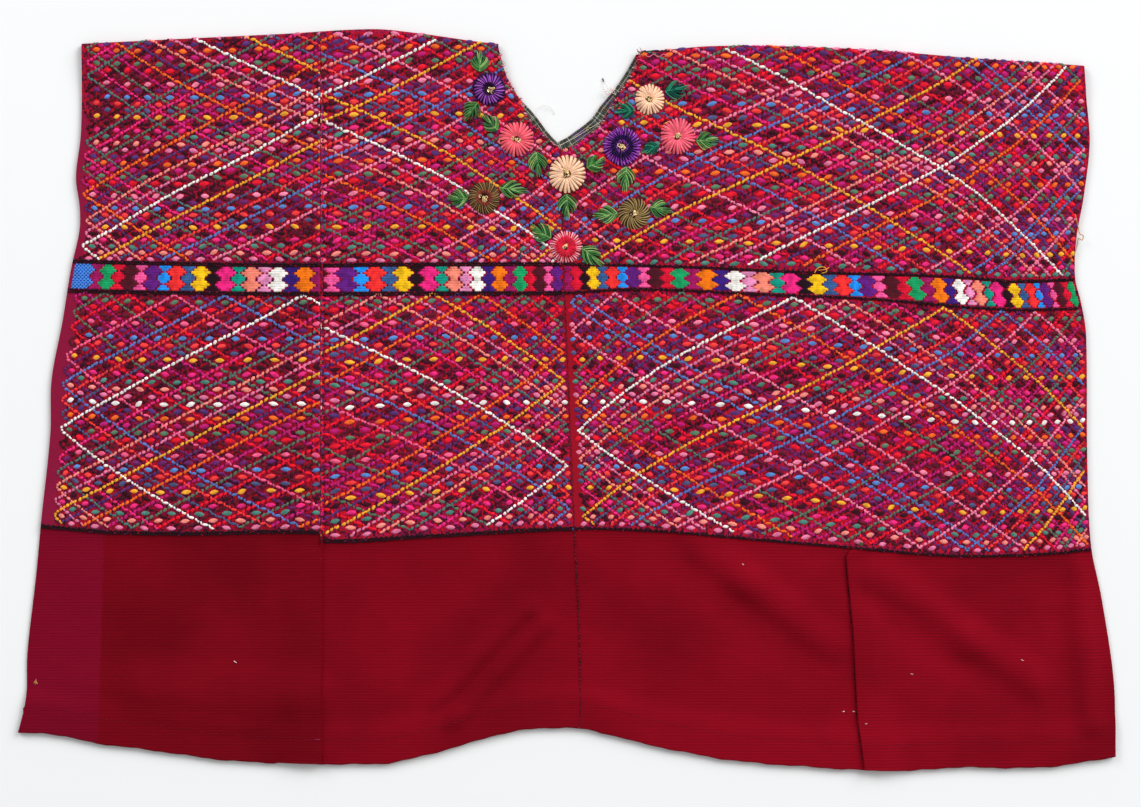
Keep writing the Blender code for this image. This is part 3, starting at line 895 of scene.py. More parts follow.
# clear of the cloth's edges: the seam, the V, the sides and the tuck
clear = {"seam": 0.4, "neck": 0.8, "side": 0.5, "tuckOuter": 0.35, "tuckInner": 0.25}
usualTop = 3.0  # the front's height where a point misses the cloth
stepInside = 0.6  # it first looks this much nearer the middle
offFloor = {"fold": 0.03, "back": 0.02}


# a point on the front's face, carried on round the shoulder fold
def frontPoint(side, x, y, lift):
    crest = crossLines["shoulder"](x)
    if y > crest:
        angle = min((y - crest) / foldOuter, math.pi)
        reach = foldOuter + lift
        rise = foldOuter + reach * math.cos(angle)
        return (x, crest + reach * math.sin(angle), max(rise, offFloor["fold"]))
    top = heightAt(side, x, y)
    if top is None:
        top = heightAt(side, x - side * stepInside, y) or usualTop
    return (x, y, top + lift)


def backPoint(side, x, y, lift):
    return (x, y, max(cloth["backLift"] - lift / 2, offFloor["back"]))


# where floats may lie: the panel's own edges, its tuck, its seam or V
def innerLimit(side, y, back):
    if y <= cloth["neckPoint"]:
        return centreSeam(y) + side * clear["seam"]
    word = ("back" if back else "front") + ("Left" if side < 0 else "Right")
    return neckLines[word](y) + side * clear["neck"]


def makeZone(side, outerPart, back):
    def limits(y):
        if side > 0:
            return innerLimit(side, y, back), rightEdge(y) - clear["side"]
        tuckX = tuck["leftX"]
        if outerPart:
            return leftEdge(y) + clear["side"], tuckX - (0.0 if back else clear["tuckOuter"])
        return tuckX + (0.0 if back else clear["tuckInner"]), innerLimit(side, y, back)

    return {"side": side, "limits": limits, "point": backPoint if back else frontPoint,
            "flip": back}


zones = {
    (word, back): makeZone(side, outerPart, back)
    for word, side, outerPart in (
        ("leftOuter", -1, True), ("leftInner", -1, False), ("right", 1, False)
    )
    for back in (False, True)
}


# equal turns round a circle
def turnsOf(count):
    return [2 * math.pi * k / count for k in range(count)]


# padded shapes: points u along, w across, h up, and faces
def lensShape(sides, pinch, lean=0.0):
    points = []
    for share, rise in ((1.0, -0.12), (0.66, 0.82)):
        for turn in turnsOf(sides):
            u, w = math.cos(turn) / 2 * share, math.sin(turn)
            w = math.copysign(abs(w) ** pinch, w) / 2 * share
            points.append((u, w + lean * u, rise))
    points.append((0.0, 0.0, 1.0))
    faces = []
    for k in range(sides):
        after = (k + 1) % sides
        faces.append((k, after, sides + after, sides + k))
        faces.append((sides + k, sides + after, 2 * sides))
    return points, faces


def flatLensShape(sides):
    points = [(math.cos(turn) / 2, math.sin(turn) / 2, 0.0) for turn in turnsOf(sides)]
    return points + [(0.0, 0.0, 1.0)], [(k, (k + 1) % sides, sides) for k in range(sides)]


tickShape = (
    [(-0.5, -0.5, -0.12), (0.5, -0.5, -0.12), (0.5, 0.5, -0.12), (-0.5, 0.5, -0.12),
     (-0.34, 0, 1.0), (0.34, 0, 1.0)],
    [(0, 1, 5, 4), (1, 2, 5), (2, 3, 4, 5), (3, 0, 4)],
)
fineShapes = {
    "spot": [lensShape(10, 1.8, 0.3), lensShape(10, 1.6, -0.2), lensShape(10, 2.0, 0.08)],
    "dash": [lensShape(8, 1.1)],
    "knot": [lensShape(6, 1.0)],
    "bead": [lensShape(6, 1.0, 0.1), lensShape(6, 1.0, -0.1)],
    "tick": [tickShape],
}
coarseShapes = {
    kind: [flatLensShape(sides)]
    for kind, sides in (("spot", 6), ("dash", 5), ("knot", 4), ("bead", 4), ("tick", 3))
}


def newHeap(name, shapes, seed):
    return {"name": name, "points": [], "faces": [], "slots": [], "shapes": shapes,
            "draw": random.Random(seed)}


pastEdge = 0.3  # share of its length by which a float's middle may pass its zone's edge


# puts one float on the cloth: centre, size, turn in degrees, colour letter
def layFloat(heap, zone, kind, x, y, length, width, height, turn, letter):
    low, high = zone["limits"](y)
    if not low - length * pastEdge < x < high + length * pastEdge:
        return
    shapes = heap["shapes"][kind]
    points, faces = shapes[heap["draw"].randrange(len(shapes))]
    angle = math.radians(turn)
    cosine, sine = math.cos(angle), math.sin(angle)
    start = len(heap["points"])
    for u, w, h in points:
        u, w = u * length, w * width
        px = min(max(x + u * cosine - w * sine, low), high)
        heap["points"].append(
            zone["point"](zone["side"], px, y + u * sine + w * cosine, h * height)
        )
    slot = yarnLetters.index(letter)
    for face in faces:
        corners = tuple(start + corner for corner in face)
        heap["faces"].append(corners[::-1] if zone["flip"] else corners)
        heap["slots"].append(slot)


def finishHeap(heap):
    used = sorted(set(heap["slots"]))
    made = meshPiece(
        heap["name"], heap["points"], heap["faces"],
        [used.index(s) for s in heap["slots"]], [yarnMaterials[s] for s in used], 75,
    )
    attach(made, "root")
    print(heap["name"], len(heap["faces"]), "faces")


# how the lattice's columns spread over a panel: p counts half pitches from the panel's left
rightSpread = curveThrough((
    (0, 0), (3.5, 0.058), (7.5, 0.136), (11.5, 0.227), (15.5, 0.336), (19.5, 0.445),
    (23.5, 0.546), (27.5, 0.641), (31.5, 0.734), (35.5, 0.81), (39.5, 0.88), (43.5, 0.94),
    (48, 1),
))
# the left panel's columns either side of the tuck, and those that it hides
columns = {
    "count": {-1: 44, 1: 48},
    "hiddenFrom": 20.9, "hiddenTo": 23.2, "hiddenMiddle": 22.0, "beside": (20.5, 23.5),
    "outerSpread": (0.0413, 0.00035), "innerSpread": (0.0635, -0.000716), "startY": 110.0,
}


def columnX(side, p, y, edgeInset=0.0, seamInset=0.0):
    seam = centreSeam(min(y, cloth["neckPoint"]))
    if side > 0:
        start = seam + seamInset
        return start + rightSpread(p) * (rightEdge(y) - 1.5 - edgeInset - start)
    if p < columns["hiddenMiddle"]:
        start, end = leftEdge(y) + edgeInset, tuck["leftX"]
        even, growing = columns["outerSpread"]
    else:
        start, end = tuck["leftX"], seam - seamInset
        even, growing = columns["innerSpread"]
        p -= columns["beside"][1]
    return start + (even * p + growing * p * p) * (end - start)


def hidden(side, p):
    return side < 0 and columns["hiddenFrom"] < p < columns["hiddenTo"]


def zoneFor(side, p, back):
    if side > 0:
        return zones["right", back]
    return zones["leftOuter" if p < columns["hiddenMiddle"] else "leftInner", back]


yarnOrder = "wykaobctuhgsvrmpnx"  # the lighter yarn shows where two lines cross
upperCycle = "omgrnkpbcsyxhtauv"  # a row of spots for each
lowerSpots = "grnkpbcsyxhtauwvomgrnkpbcsyxhtau"

# the charts: colours of the slanting lines, one letter for each, from the panel's left
charts = {
    "upperLeft": {
        "side": -1, "reference": 33, "offBand": 2.5, "pitch": 5.44,
        "rising": "xyscbpknrgmmgrnkpbcsyw", "risingFrom": 0.5,
        "falling": "wuavomghtxnnxthgmovau", "fallingFrom": 2.5,
        "lateFalling": "xyscbpknrg", "lateFrom": 46,  # the falling lanes past a missing line
        "edgeInset": 0.0, "seamInset": 0.0, "lean": (185, 115),
        "drift": (
            ((-400, 0), (-375, 0), (-335, -1.4), (-296, 0.8), (-257, 3.2), (-217, 3.4), (-203, 2),
             (-200, 1), (-178, 2.8), (-139, 2.2), (-99, 2.6), (-60, 0.6), (-20, 0)),
            ((-400, 0), (-375, -0.6), (-335, -3), (-296, -0.8), (-257, 0.8), (-217, 1.4),
             (-200, 0.6), (-178, 0.4), (-99, 0.8), (-20, 0.8)),
        ),
        "lift": (
            ((-400, -2.5), (-335, -2.8), (-296, -2), (-257, 0), (-217, 2.2), (-178, 1.4),
             (-99, 1.5), (-60, -0.8), (-20, 0)),
            ((-400, -0.4), (-362, 0.2), (-296, 1.6), (-217, 2.2), (-139, 0.6), (-20, -0.6)),
        ),
    },
    "upperRight": {
        "side": 1, "reference": 31, "offBand": 4.9, "pitch": 5.6,
        "rising": "syxhtauwvomgrnkpbbpknrgm", "risingFrom": 1.5, "turnAt": 49.5,
        "falling": "cbpknrgmgrnkpbcsyxhtauwvo", "fallingFrom": 1.5,
        "edgeInset": 0.0, "seamInset": 0.0, "lean": (210, 115),
        "drift": (
            ((0, 0), (58, 0), (98, 2.2), (137, 4), (176, 3.6), (255, 2.8), (334, 2.6), (373, 0.8),
             (412, 0), (430, 0)),
            ((0, 0), (19, 2.4), (58, 7.6), (98, 10.4), (137, 12), (176, 12), (216, 10.8),
             (294, 10), (334, 9.8), (373, 8), (412, 2.6), (430, 0)),
        ),
        "lift": (
            ((0, -0.5), (58, 0), (98, 0.3), (137, 1.5), (176, 2), (216, 1), (294, 0.2),
             (334, 1.8), (373, 2.6), (412, 1), (430, 0.5)),
            ((0, -1.4), (58, -2.2), (98, -1.5), (137, -0.8), (176, 0.6), (216, 0.6), (255, -0.8),
             (294, -1.6), (373, -0.6), (430, 0)),
        ),
    },
    "lowerLeft": {
        "side": -1, "apexes": "mgrnkpbcswxhtauyvomgrn", "apexFrom": 1.5,
        "edgeInset": 6.6, "seamInset": 0.0, "lean": (40, -60),
        "drift": (
            ((-430, -1), (-412, -1.4), (-398, -4), (-335, -4), (-296, -2.6), (-257, -1.4),
             (-178, -1.8), (-99, -1), (0, 0)),
            ((-430, -0.6), (-422, -1), (-408, -4.6), (-375, -5.2), (-335, -5.4), (-296, -4.6),
             (-217, -3.2), (-203, -2), (-178, -1), (0, -0.4)),
        ),
        "lift": (
            ((-430, 3), (-390, 3), (-365, 1.8), (-335, 1.5), (-257, 1.6), (-217, 2.4),
             (-178, 2.2), (-139, 3.2), (-99, 3.2), (-60, 2.4), (0, 0.8)),
            ((-430, 0.6), (-257, 0), (-178, 0.4), (-139, 1.6), (-99, 2.2), (-60, 2), (0, 0.6)),
        ),
    },
    "lowerRight": {
        "side": 1, "apexes": "bpknrgmovwuathxyscbpknrgm", "apexFrom": 1.5,
        "turnAt": 50.5, "edgeInset": 0.0, "seamInset": 2.5, "lean": (61, -110),
        "drift": (
            ((0, -1), (255, -1.4), (334, -0.4), (373, -1), (430, 0)),
            ((0, 1), (19, 3), (58, 5.5), (98, 9), (137, 10.5), (176, 11.4), (216, 11.6),
             (255, 11), (334, 10.8), (373, 10.4), (412, 4), (430, 0)),
        ),
        "lift": (
            ((0, 0.4), (58, 0.8), (98, 1.6), (137, 2.4), (176, 2.2), (216, 0.9), (294, 1.2),
             (334, 2), (373, 2), (430, 0.8)),
            ((0, 0), (98, -0.6), (176, 0), (294, 0), (373, 1), (430, 0.6)),
        ),
    },
}
for chart in charts.values():
    chart["count"] = columns["count"][chart["side"]]
    for word in ("drift", "lift"):
        chart[word] = [curveThrough(points) for points in chart[word]]
lowerFrame = {"belowBand": 3.3, "aboveEdge": 4.2, "rows": 32}
rowsOverFold = 2


def rowHeightAt(chart, row, x):
    if "reference" in chart:
        return bandTop(x) + chart["offBand"] + (chart["reference"] - row) * chart["pitch"]
    high = bandBottom(x) - lowerFrame["belowBand"]
    low = brocadeEdge(x) + lowerFrame["aboveEdge"]
    return high + (low - high) * (row + 1) / lowerFrame["rows"]


def latticePoint(chart, p, row):
    x = columnX(chart["side"], p, columns["startY"])
    for _ in range(2):
        y = rowHeightAt(chart, row, x)
        x = columnX(chart["side"], p, y, chart["edgeInset"], chart["seamInset"])
    y = rowHeightAt(chart, row, x)
    # the grain leans: more near the band than at the shoulder
    top, foot = chart["lean"]
    share = min(1, max(0, (top - y) / (top - foot)))
    drift, lift = (
        chart[word][0](x) * (1 - share) + chart[word][1](x) * share for word in ("drift", "lift")
    )
    return x + drift, y + lift


# every slanting line as p at each row, turned back at the panel's sides
def movers(chart):
    # the right panel's lines turn behind its edge
    low, high = 0.5, chart.get("turnAt", chart["count"] - 0.5)
    if "reference" in chart:
        starts = [
            (chart["risingFrom"] + 2 * k, 1, letter) for k, letter in enumerate(chart["rising"])
        ] + [
            (chart["fallingFrom"] + 2 * k, -1, letter) for k, letter in enumerate(chart["falling"])
        ]
        rows = list(range(chart["reference"], -rowsOverFold, -1))
    else:
        starts = [
            (chart["apexFrom"] + 2 * k, way, letter)
            for k, letter in enumerate(chart["apexes"]) for way in (1, -1)
        ]
        rows = list(range(-1, lowerFrame["rows"]))
    for p, way, letter in starts:
        for row, following in zip(rows, rows[1:]):
            if not low <= p + way <= high:
                way = -way
            yield p, row, p + way, following, letter
            p += way


looks = {
    "scatter": 0.24,
    "turnScatter": 7,
    "sizes": (0.92, 1.08),
    "heights": (0.8, 1.15),
    "deepSwell": 1.06,
    "beadStretch": (0.66, 1.1),
    "spotStretch": (0.66, 1.15),
    "frontOverFold": 2.5,  # how far past the shoulder line the rows go
    "backOverFold": -5.0,
    "bead": {"length": 4.3, "width": 2.65, "height": 0.95},
    # beads of a half cell: place along it, turn, length and breadth against a plain bead
    "rising": ((0.17, 54, 0.95, 0.92), (0.5, 44, 1.05, 1.05), (0.83, 54, 0.95, 0.92)),
    "falling": ((0.19, -66, 0.88, 0.74), (0.5, -6, 1.3, 1.0), (0.83, -66, 0.88, 0.74)),
    "spot": {"length": 8.1, "width": 4.1, "height": 0.85},
    "knot": {"length": 3.3, "width": 2.2, "height": 0.85},
    "knotTurn": 8,
    "spotTurns": (-6, 2, 9),
    "pitch": 11.2,  # the half pitch these sizes belong to
    "besideTuck": 11,  # and the one beside the tuck
}


def stretchOf(span, word):
    least, most = looks[word]
    return max(least, min(most, span / looks["pitch"]))


def layBrocade(heap, chartName, back=False):
    chart = charts[chartName]
    side, draw = chart["side"], heap["draw"]
    overFold = looks["backOverFold" if back else "frontOverFold"]
    knots = {}

    def put(kind, p, x, y, turn, letter, stretch, swell=1.0):
        size = looks[kind]
        if chartName == "lowerLeft":
            letter = lowerYarns.get(letter, letter)
        broad = looks["deepSwell"] if letter in deepYarns else 1.0
        layFloat(
            heap, zoneFor(side, p, back), kind,
            x + draw.gauss(0, looks["scatter"]), y + draw.gauss(0, looks["scatter"]),
            size["length"] * stretch * broad * draw.uniform(*looks["sizes"]),
            size["width"] * swell * broad * draw.uniform(*looks["sizes"]),
            size["height"] * draw.uniform(*looks["heights"]),
            turn + draw.gauss(0, looks["turnScatter"]), letter,
        )

    for p, row, nextP, nextRow, letter in movers(chart):
        if (p < columns["hiddenMiddle"]) != (nextP < columns["hiddenMiddle"]) and side < 0:
            continue
        if max(p, nextP) > chart["count"] - 0.5:
            continue
        x0, y0 = latticePoint(chart, p, row)
        x1, y1 = latticePoint(chart, nextP, nextRow)
        if max(y0 - shoulder(x0), y1 - shoulder(x1)) > overFold:
            continue
        stretch = stretchOf(abs(x1 - x0), "beadStretch")
        rising = (x1 - x0) * (y1 - y0) > 0
        middleP = (p + nextP) / 2
        lane = p + chart.get("reference", 0) - row
        if "lateFalling" in chart and not rising and lane > chart["lateFrom"]:
            late = int((lane - chart["lateFrom"]) / 2)
            letter = chart["lateFalling"][min(len(chart["lateFalling"]) - 1, late)]
        if x1 < x0:
            x0, y0, x1, y1 = x1, y1, x0, y0
        for share, turn, long, broad in looks["rising" if rising else "falling"]:
            put(
                "bead", middleP, x0 + (x1 - x0) * share, y0 + (y1 - y0) * share, turn,
                lineYarns.get(letter, letter), stretch * long, broad,
            )
        for where, here in ((p, row), (nextP, nextRow)):
            held = knots.get((where, here))
            if held is None or yarnOrder.index(letter) < yarnOrder.index(held[0]):
                knots[where, here] = (letter, *latticePoint(chart, where, here), stretch)
    for (p, row), (letter, x, y, stretch) in knots.items():
        if side > 0 or p > 1:
            put("knot", p, x, y, looks["knotTurn"], lineYarns.get(letter, letter), stretch)
    layRows = enumerate(lowerSpots)
    if "reference" in chart:
        rows = range(1 - rowsOverFold, chart["reference"] + 1)
        layRows = [(row, upperCycle[(row - 1) % len(upperCycle)]) for row in rows]
    for row, letter in layRows:
        first = 0.5 if (0.5, row) not in knots else 1.5
        for k in range((chart["count"] + 1) // 2):
            p = first + 2 * k
            if p > chart["count"] - 0.5 or hidden(side, p) or (side < 0 and p < 1):
                continue
            x, y = latticePoint(chart, p, row)
            if y - shoulder(x) > overFold:
                continue
            near = latticePoint(chart, min(p + 1, chart["count"] - 0.5), row)[0]
            far = latticePoint(chart, max(p - 1, 0.5), row)[0]
            if side < 0 and p in columns["beside"]:  # its neighbour is past the tuck
                near, far = x + looks["besideTuck"], x - looks["besideTuck"]
            stretch = stretchOf((near - far) / 2, "spotStretch")
            put("spot", p, x, y, draw.choice(looks["spotTurns"]), letter, stretch)


# one weft row of the band: a low rounded bar with tapered ends
def layBar(heap, zone, x0, x1, y, tall, letter):
    low, high = zone["limits"](y)
    x0, x1 = max(x0, low), min(x1, high)
    if x1 - x0 < 0.5:
        return
    tip = min(band["tip"], (x1 - x0) / 3)
    start = len(heap["points"])
    # x, breadth and height there
    stations = ((x0, 0.5, 0.4), (x0 + tip, 1, 1), ((x0 + x1) / 2, 1, 1.1), (x1 - tip, 1, 1),
                (x1, 0.5, 0.4))
    for x, broad, rise in stations:
        for aside, up in ((-0.5, -0.1), (0, 1), (0.5, -0.1)):
            lift = up * rise * band["high"]
            heap["points"].append(zone["point"](zone["side"], x, y + aside * broad * tall, lift))
    for k in range(len(stations) - 1):
        for step in range(2):
            a = start + 3 * k + step
            corners = (a, a + 3, a + 4, a + 1)
            heap["faces"].append(corners[::-1] if zone["flip"] else corners)
            heap["slots"].append(yarnLetters.index(letter))


band = {
    "rows": 10,
    "margin": 1.9,  # from the black line's middle to the first row
    "high": 0.8,
    "tip": 0.6,
    "tall": 1.3,  # against the row's own height, so that the rows touch
    "ragged": 0.4,
    "narrow": 0.25,  # half width of a diamond's waist, what its middle adds, and the whole pitch
    "bulge": 0.56,
    "both": 0.94,
    "gap": 0.1,
    "paleGap": 0.45,
    "paleYarns": "WAUKTB",
    "middleY": 100,
    "leftFrom": 2,  # whole columns left to the blue block
    "leftCycle": "MGRNKPBCSYXHTAUWVO",
    "rightStart": "MRX",
    "rightCycle": "YSCBPKNRGMOVWUATHX",  # from p 3.5
    "blockFrom": 2.6,  # the blue block starts this far in from the left edge
    "blockColumn": 1.5,
    "blockX": -400,
    "innerShift": -0.3,
}


# half width of a column at a share of the band's height: two diamonds, or what they leave
def bandHalf(full, share):
    wide = band["narrow"] + band["bulge"] * (1 - abs((2 * share) % 1 - 0.5) * 2)
    return wide if full else band["both"] - wide


def layBand(heap, side, back=False):
    draw = heap["draw"]
    for row in range(band["rows"]):
        share = (row + 0.5) / band["rows"]

        def rowY(x):
            low, high = bandBottom(x) + band["margin"], bandTop(x) - band["margin"]
            return low + (high - low) * share

        tall = band["tall"] * (rowY(0) - bandBottom(0) - band["margin"]) / (row + 0.5)
        for k in range(columns["count"][side]):
            p = k + 0.5
            if hidden(side, p) or (side < 0 and p < band["leftFrom"]):
                continue
            if side > 0:
                letter = (band["rightStart"] + 3 * band["rightCycle"])[k]
            else:
                letter = band["leftCycle"][(k - band["leftFrom"]) % len(band["leftCycle"])]
            pastTuck = side < 0 and p > columns["hiddenMiddle"]
            middle = p + (band["innerShift"] if pastTuck else 0)
            half = bandHalf(k % 2 == 1, share)
            y = rowY(columnX(side, middle, band["middleY"]))
            zone = zoneFor(side, p, back)
            x0, x1 = columnX(side, middle - half, y), columnX(side, middle + half, y)
            gap = band["paleGap" if letter in band["paleYarns"] else "gap"]
            layBar(
                heap, zone, x0 + gap + draw.uniform(0, band["ragged"]),
                x1 - gap - draw.uniform(0, band["ragged"]), y, tall, letter,
            )
        if side < 0:
            y = rowY(band["blockX"])
            start = leftEdge(y) + band["blockFrom"]
            end = columnX(side, band["blockColumn"] + bandHalf(True, share), y)
            layBar(heap, zones["leftOuter", back], start, end, y, tall, "L")


# the black sewn lines: two rows of slanted stitches with dark red between
chain = {
    "pitch": 2.1, "length": 3.1, "height": 1.3, "turn": 34,
    "turnScatter": 5, "alongScatter": 0.2, "acrossScatter": 0.12, "lengths": (0.85, 1.1),
    -1: {"width": 1.8, "apart": 0.85}, 1: {"width": 1.35, "apart": 0.45},
    "tickShare": 0.3, "tickSize": (1.9, 0.8, 1.5), "tickOff": 1.3, "tickYarns": "nRm",
}


def layChain(heap, side, line, back=False):
    draw = heap["draw"]
    for word in ("right",) if side > 0 else ("leftOuter", "leftInner"):
        zone = zones[word, back]
        x, end = zone["limits"](line(side * 200))
        count = 0
        while x < end:
            for hand in (1, -1):
                turn = hand * chain["turn"] * (1 if count % 2 else -1)
                turn += draw.gauss(0, chain["turnScatter"])
                layFloat(
                    heap, zone, "dash", x + draw.gauss(0, chain["alongScatter"]),
                    line(x) + hand * chain[side]["apart"] + draw.gauss(0, chain["acrossScatter"]),
                    chain["length"] * draw.uniform(*chain["lengths"]), chain[side]["width"],
                    chain["height"], turn, "X",
                )
            if draw.random() < chain["tickShare"]:
                off = draw.uniform(-chain["tickOff"], chain["tickOff"])
                layFloat(
                    heap, zone, "tick", x + chain["pitch"] / 2, line(x) + off, *chain["tickSize"],
                    draw.uniform(-60, 60), draw.choice(chain["tickYarns"]),
                )
            x += chain["pitch"]
            count += 1


sewnLines = (bandTop, bandBottom, brocadeEdge)

for seed, chartName in enumerate(charts, 11):
    heap = newHeap(chartName + "Brocade", fineShapes, seed)
    layBrocade(heap, chartName)
    finishHeap(heap)
for side, pieceName in ((-1, "backLeftBrocade"), (1, "backRightBrocade")):
    heap = newHeap(pieceName, coarseShapes, 20 + side)
    for chartName in charts:
        if charts[chartName]["side"] == side:
            layBrocade(heap, chartName, back=True)
    layBand(heap, side, back=True)
    for line in sewnLines:
        layChain(heap, side, line, back=True)
    finishHeap(heap)

for side, pieceName in ((-1, "leftBand"), (1, "rightBand")):
    heap = newHeap(pieceName, fineShapes, 30 + side)
    layBand(heap, side)
    for line in sewnLines:
        layChain(heap, side, line)
    finishHeap(heap)


# free meshes: tubes and pads gathered into one piece, with their own materials
def newStack(name, materials, seed=1):
    return {"name": name, "points": [], "faces": [], "slots": [], "materials": materials,
            "draw": random.Random(seed)}


# joins the rings of points from start on, and closes both ends
def joinRings(stack, start, count, sides, slot):
    for k in range(count - 1):
        for step in range(sides):
            a, b = start + k * sides + step, start + k * sides + (step + 1) % sides
            stack["faces"].append((a, b, b + sides, a + sides))
    last = start + (count - 1) * sides
    stack["faces"].append(tuple(range(start + sides - 1, start - 1, -1)))
    stack["faces"].append(tuple(range(last, last + sides)))
    stack["slots"] += [slot] * ((count - 1) * sides + 2)


def addTube(stack, path, radii, slot, sides=5):
    start, count = len(stack["points"]), len(path)
    path = [Vector(p) for p in path]
    for k, p in enumerate(path):
        ahead = (path[min(k + 1, count - 1)] - path[max(k - 1, 0)]).normalized()
        across = ahead.cross(Vector((0, 0, 1)))
        across = across.normalized() if across.length > 0.05 else Vector((1, 0, 0))
        up = across.cross(ahead)
        stack["points"] += [
            p + radii[k] * (across * math.cos(turn) + up * math.sin(turn)) for turn in turnsOf(sides)
        ]
    joinRings(stack, start, count, sides, slot)


def addRing(stack, centre, radius, thick, tilt, slot, around=10, sides=5):
    start = len(stack["points"])
    turned = Vector(tilt).normalized().to_track_quat("Z", "Y")
    for angle in turnsOf(around):
        for turn in turnsOf(sides):
            out = radius + thick * math.cos(turn)
            local = Vector((out * math.cos(angle), out * math.sin(angle), thick * math.sin(turn)))
            stack["points"].append(Vector(centre) + turned @ local)
    for k in range(around):
        for step in range(sides):
            a, b = start + k * sides + step, start + k * sides + (step + 1) % sides
            c = start + (k + 1) % around * sides + (step + 1) % sides
            d = start + (k + 1) % around * sides + step
            stack["faces"].append((a, d, c, b))
            stack["slots"].append(slot)


# a closed pad: rings of points joined bottom to top
def addPad(stack, rings, slot):
    start = len(stack["points"])
    for ring in rings:
        stack["points"] += [Vector(p) for p in ring]
    joinRings(stack, start, len(rings), len(rings[0]), slot)


def finishStack(stack, *replaced, slot):
    made = meshPiece(
        stack["name"], stack["points"], stack["faces"], stack["slots"], stack["materials"], 70
    )
    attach(made, "root")
    if replaced:
        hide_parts(*replaced)


def sideAt(x, y):
    return -1 if x < centreSeam(min(y, cloth["neckPoint"])) else 1


def frontTop(x, y):
    side = sideAt(x, y)
    top = heightAt(side, x, y)
    if top is None:
        top = heightAt(-side, x, y)
    return usualTop if top is None else top


# threads of the flowers and leaves
def threadMaterial(name, colour, uneven=0.2):
    return yarnMaterial(name, dye(*colour), uneven, roughness=0.5, bump=0.35)


def goldMaterial():
    made = bpy.data.materials.new("goldThread")
    made.use_nodes = True
    make = nodeTools(made.node_tree)
    # gold's own uneven tone, and painted highlight glints at the ramp's pale end
    glintSpecks = make.noise(make.place(), 1500.0, 1.0)
    make.feed(
        made.node_tree.nodes["Principled BSDF"], ("Metallic", 0.55), ("Roughness", 0.3),
        ("Base Color", make.ramp(glintSpecks, ((0.35, dye(206, 148, 74)), (0.6, dye(255, 236, 186))))),
        ("Normal", make.relief(0.6, 0.0003, glintSpecks)),
    )
    return made


goldThread = goldMaterial()
darkEye = threadMaterial("darkEye", (44, 18, 22))

# flowers: node, then x, y, radius; then rings of rays as
# (count, from, to, thickness, twist in degrees, colour, colour of every second)
flowers = (
    {"node": "violet_upper", "place": (-63.8, 254.4, 13.2), "eye": 0.3, "pad": (34, 8, 46),
     "rings": (
         (27, 0.3, 1.04, 1.12, 8, (58, 16, 82), (44, 11, 66)),
         (27, 0.42, 0.93, 0.84, 8, (168, 92, 190), (132, 58, 162)),
     ), "gold": 3},
    {"node": "coral_left", "place": (-41.3, 213.5, 13.9), "eye": 0.24, "pad": (98, 6, 26),
     "rings": ((27, 0.18, 1.0, 1.34, 8, (240, 88, 108), (250, 112, 124)),), "gold": 4},
    {"node": "peach_centre", "place": (0.2, 184.9, 14.9), "eye": 0.26, "pad": (128, 62, 34),
     "rings": ((25, 0.22, 1.0, 1.58, 4, (250, 200, 162), (254, 216, 182)),), "gold": 5},
    {"node": "olive_left", "place": (-67.8, 165.5, 13.0), "eye": 0.3, "pad": (54, 36, 22),
     "rings": (
         (37, 0.36, 1.0, 0.62, 14, (150, 116, 74), (112, 84, 50)),
         (30, 0.26, 0.52, 0.5, 10, (156, 62, 50), (128, 52, 40)),
     ), "gold": 4},
    {"node": "rose_low", "place": (-0.8, 125.1, 12.8), "eye": 0.14, "pad": (166, 14, 40),
     "rings": (
         (35, 0.62, 1.02, 0.74, 3, (250, 176, 184), (236, 120, 140)),
         (35, 0.12, 0.72, 0.7, 5, (232, 34, 66), (214, 20, 54)),
     ), "gold": 2},
    {"node": "peach_right", "place": (67.8, 246.0, 12.1), "eye": 0.24, "pad": (150, 84, 56),
     "rings": ((25, 0.2, 1.0, 1.28, 4, (254, 212, 178), (250, 198, 166)),), "gold": 3},
    {"node": "violet_lower", "place": (45.2, 207.5, 15.1), "eye": 0.26, "pad": (26, 8, 46),
     "rings": (
         (34, 0.6, 1.0, 0.86, 6, (120, 38, 150), (150, 62, 178)),
         (30, 0.3, 0.68, 0.5, 8, (48, 16, 92), (36, 10, 70)),
         (34, 0.82, 1.02, 0.5, 4, (196, 112, 214), (150, 62, 178)),
         (16, 0.18, 0.36, 0.6, 20, (150, 70, 160), (120, 44, 140)),
     ), "gold": 5},
    {"node": "coral_right", "place": (90.9, 215.9, 14.3), "eye": 0.22, "pad": (120, 10, 36),
     "rings": ((29, 0.16, 1.0, 1.3, 8, (240, 90, 116), (250, 116, 132)),), "gold": 3},
    {"node": "olive_right", "place": (54.9, 152.3, 12.5), "eye": 0.2, "pad": (50, 34, 20),
     "rings": ((27, 0.2, 1.06, 0.66, 34, (172, 144, 92), (148, 120, 72)),), "gold": 3},
)


ray = {"crest": 0.48, "rim": 1.06, "eye": 1.5, "rise": 1.5, "fall": 1.75, "steps": 6,
       "tipDrop": 0.8, "upperRing": 0.6, "eyeLift": 2.3, "loop": (0.8, 1.35), "loopThick": 0.5}


# height of a flower's rays over the cloth, from its eye to its rim
def rayLift(share):
    if share < ray["crest"]:
        return ray["eye"] + ray["rise"] * smooth((share - 0.1) / (ray["crest"] - 0.1))
    fall = smooth((share - ray["crest"]) / (ray["rim"] - ray["crest"]))
    return ray["eye"] + ray["rise"] - ray["fall"] * fall


# share of the radius and height over the cloth, ring by ring
flowerPad = ((0.97, 0.25), (0.99, 0.8), (0.86, 1.4), (0.5, 2.2), (0.3, 1.5), (0.12, 1.1))


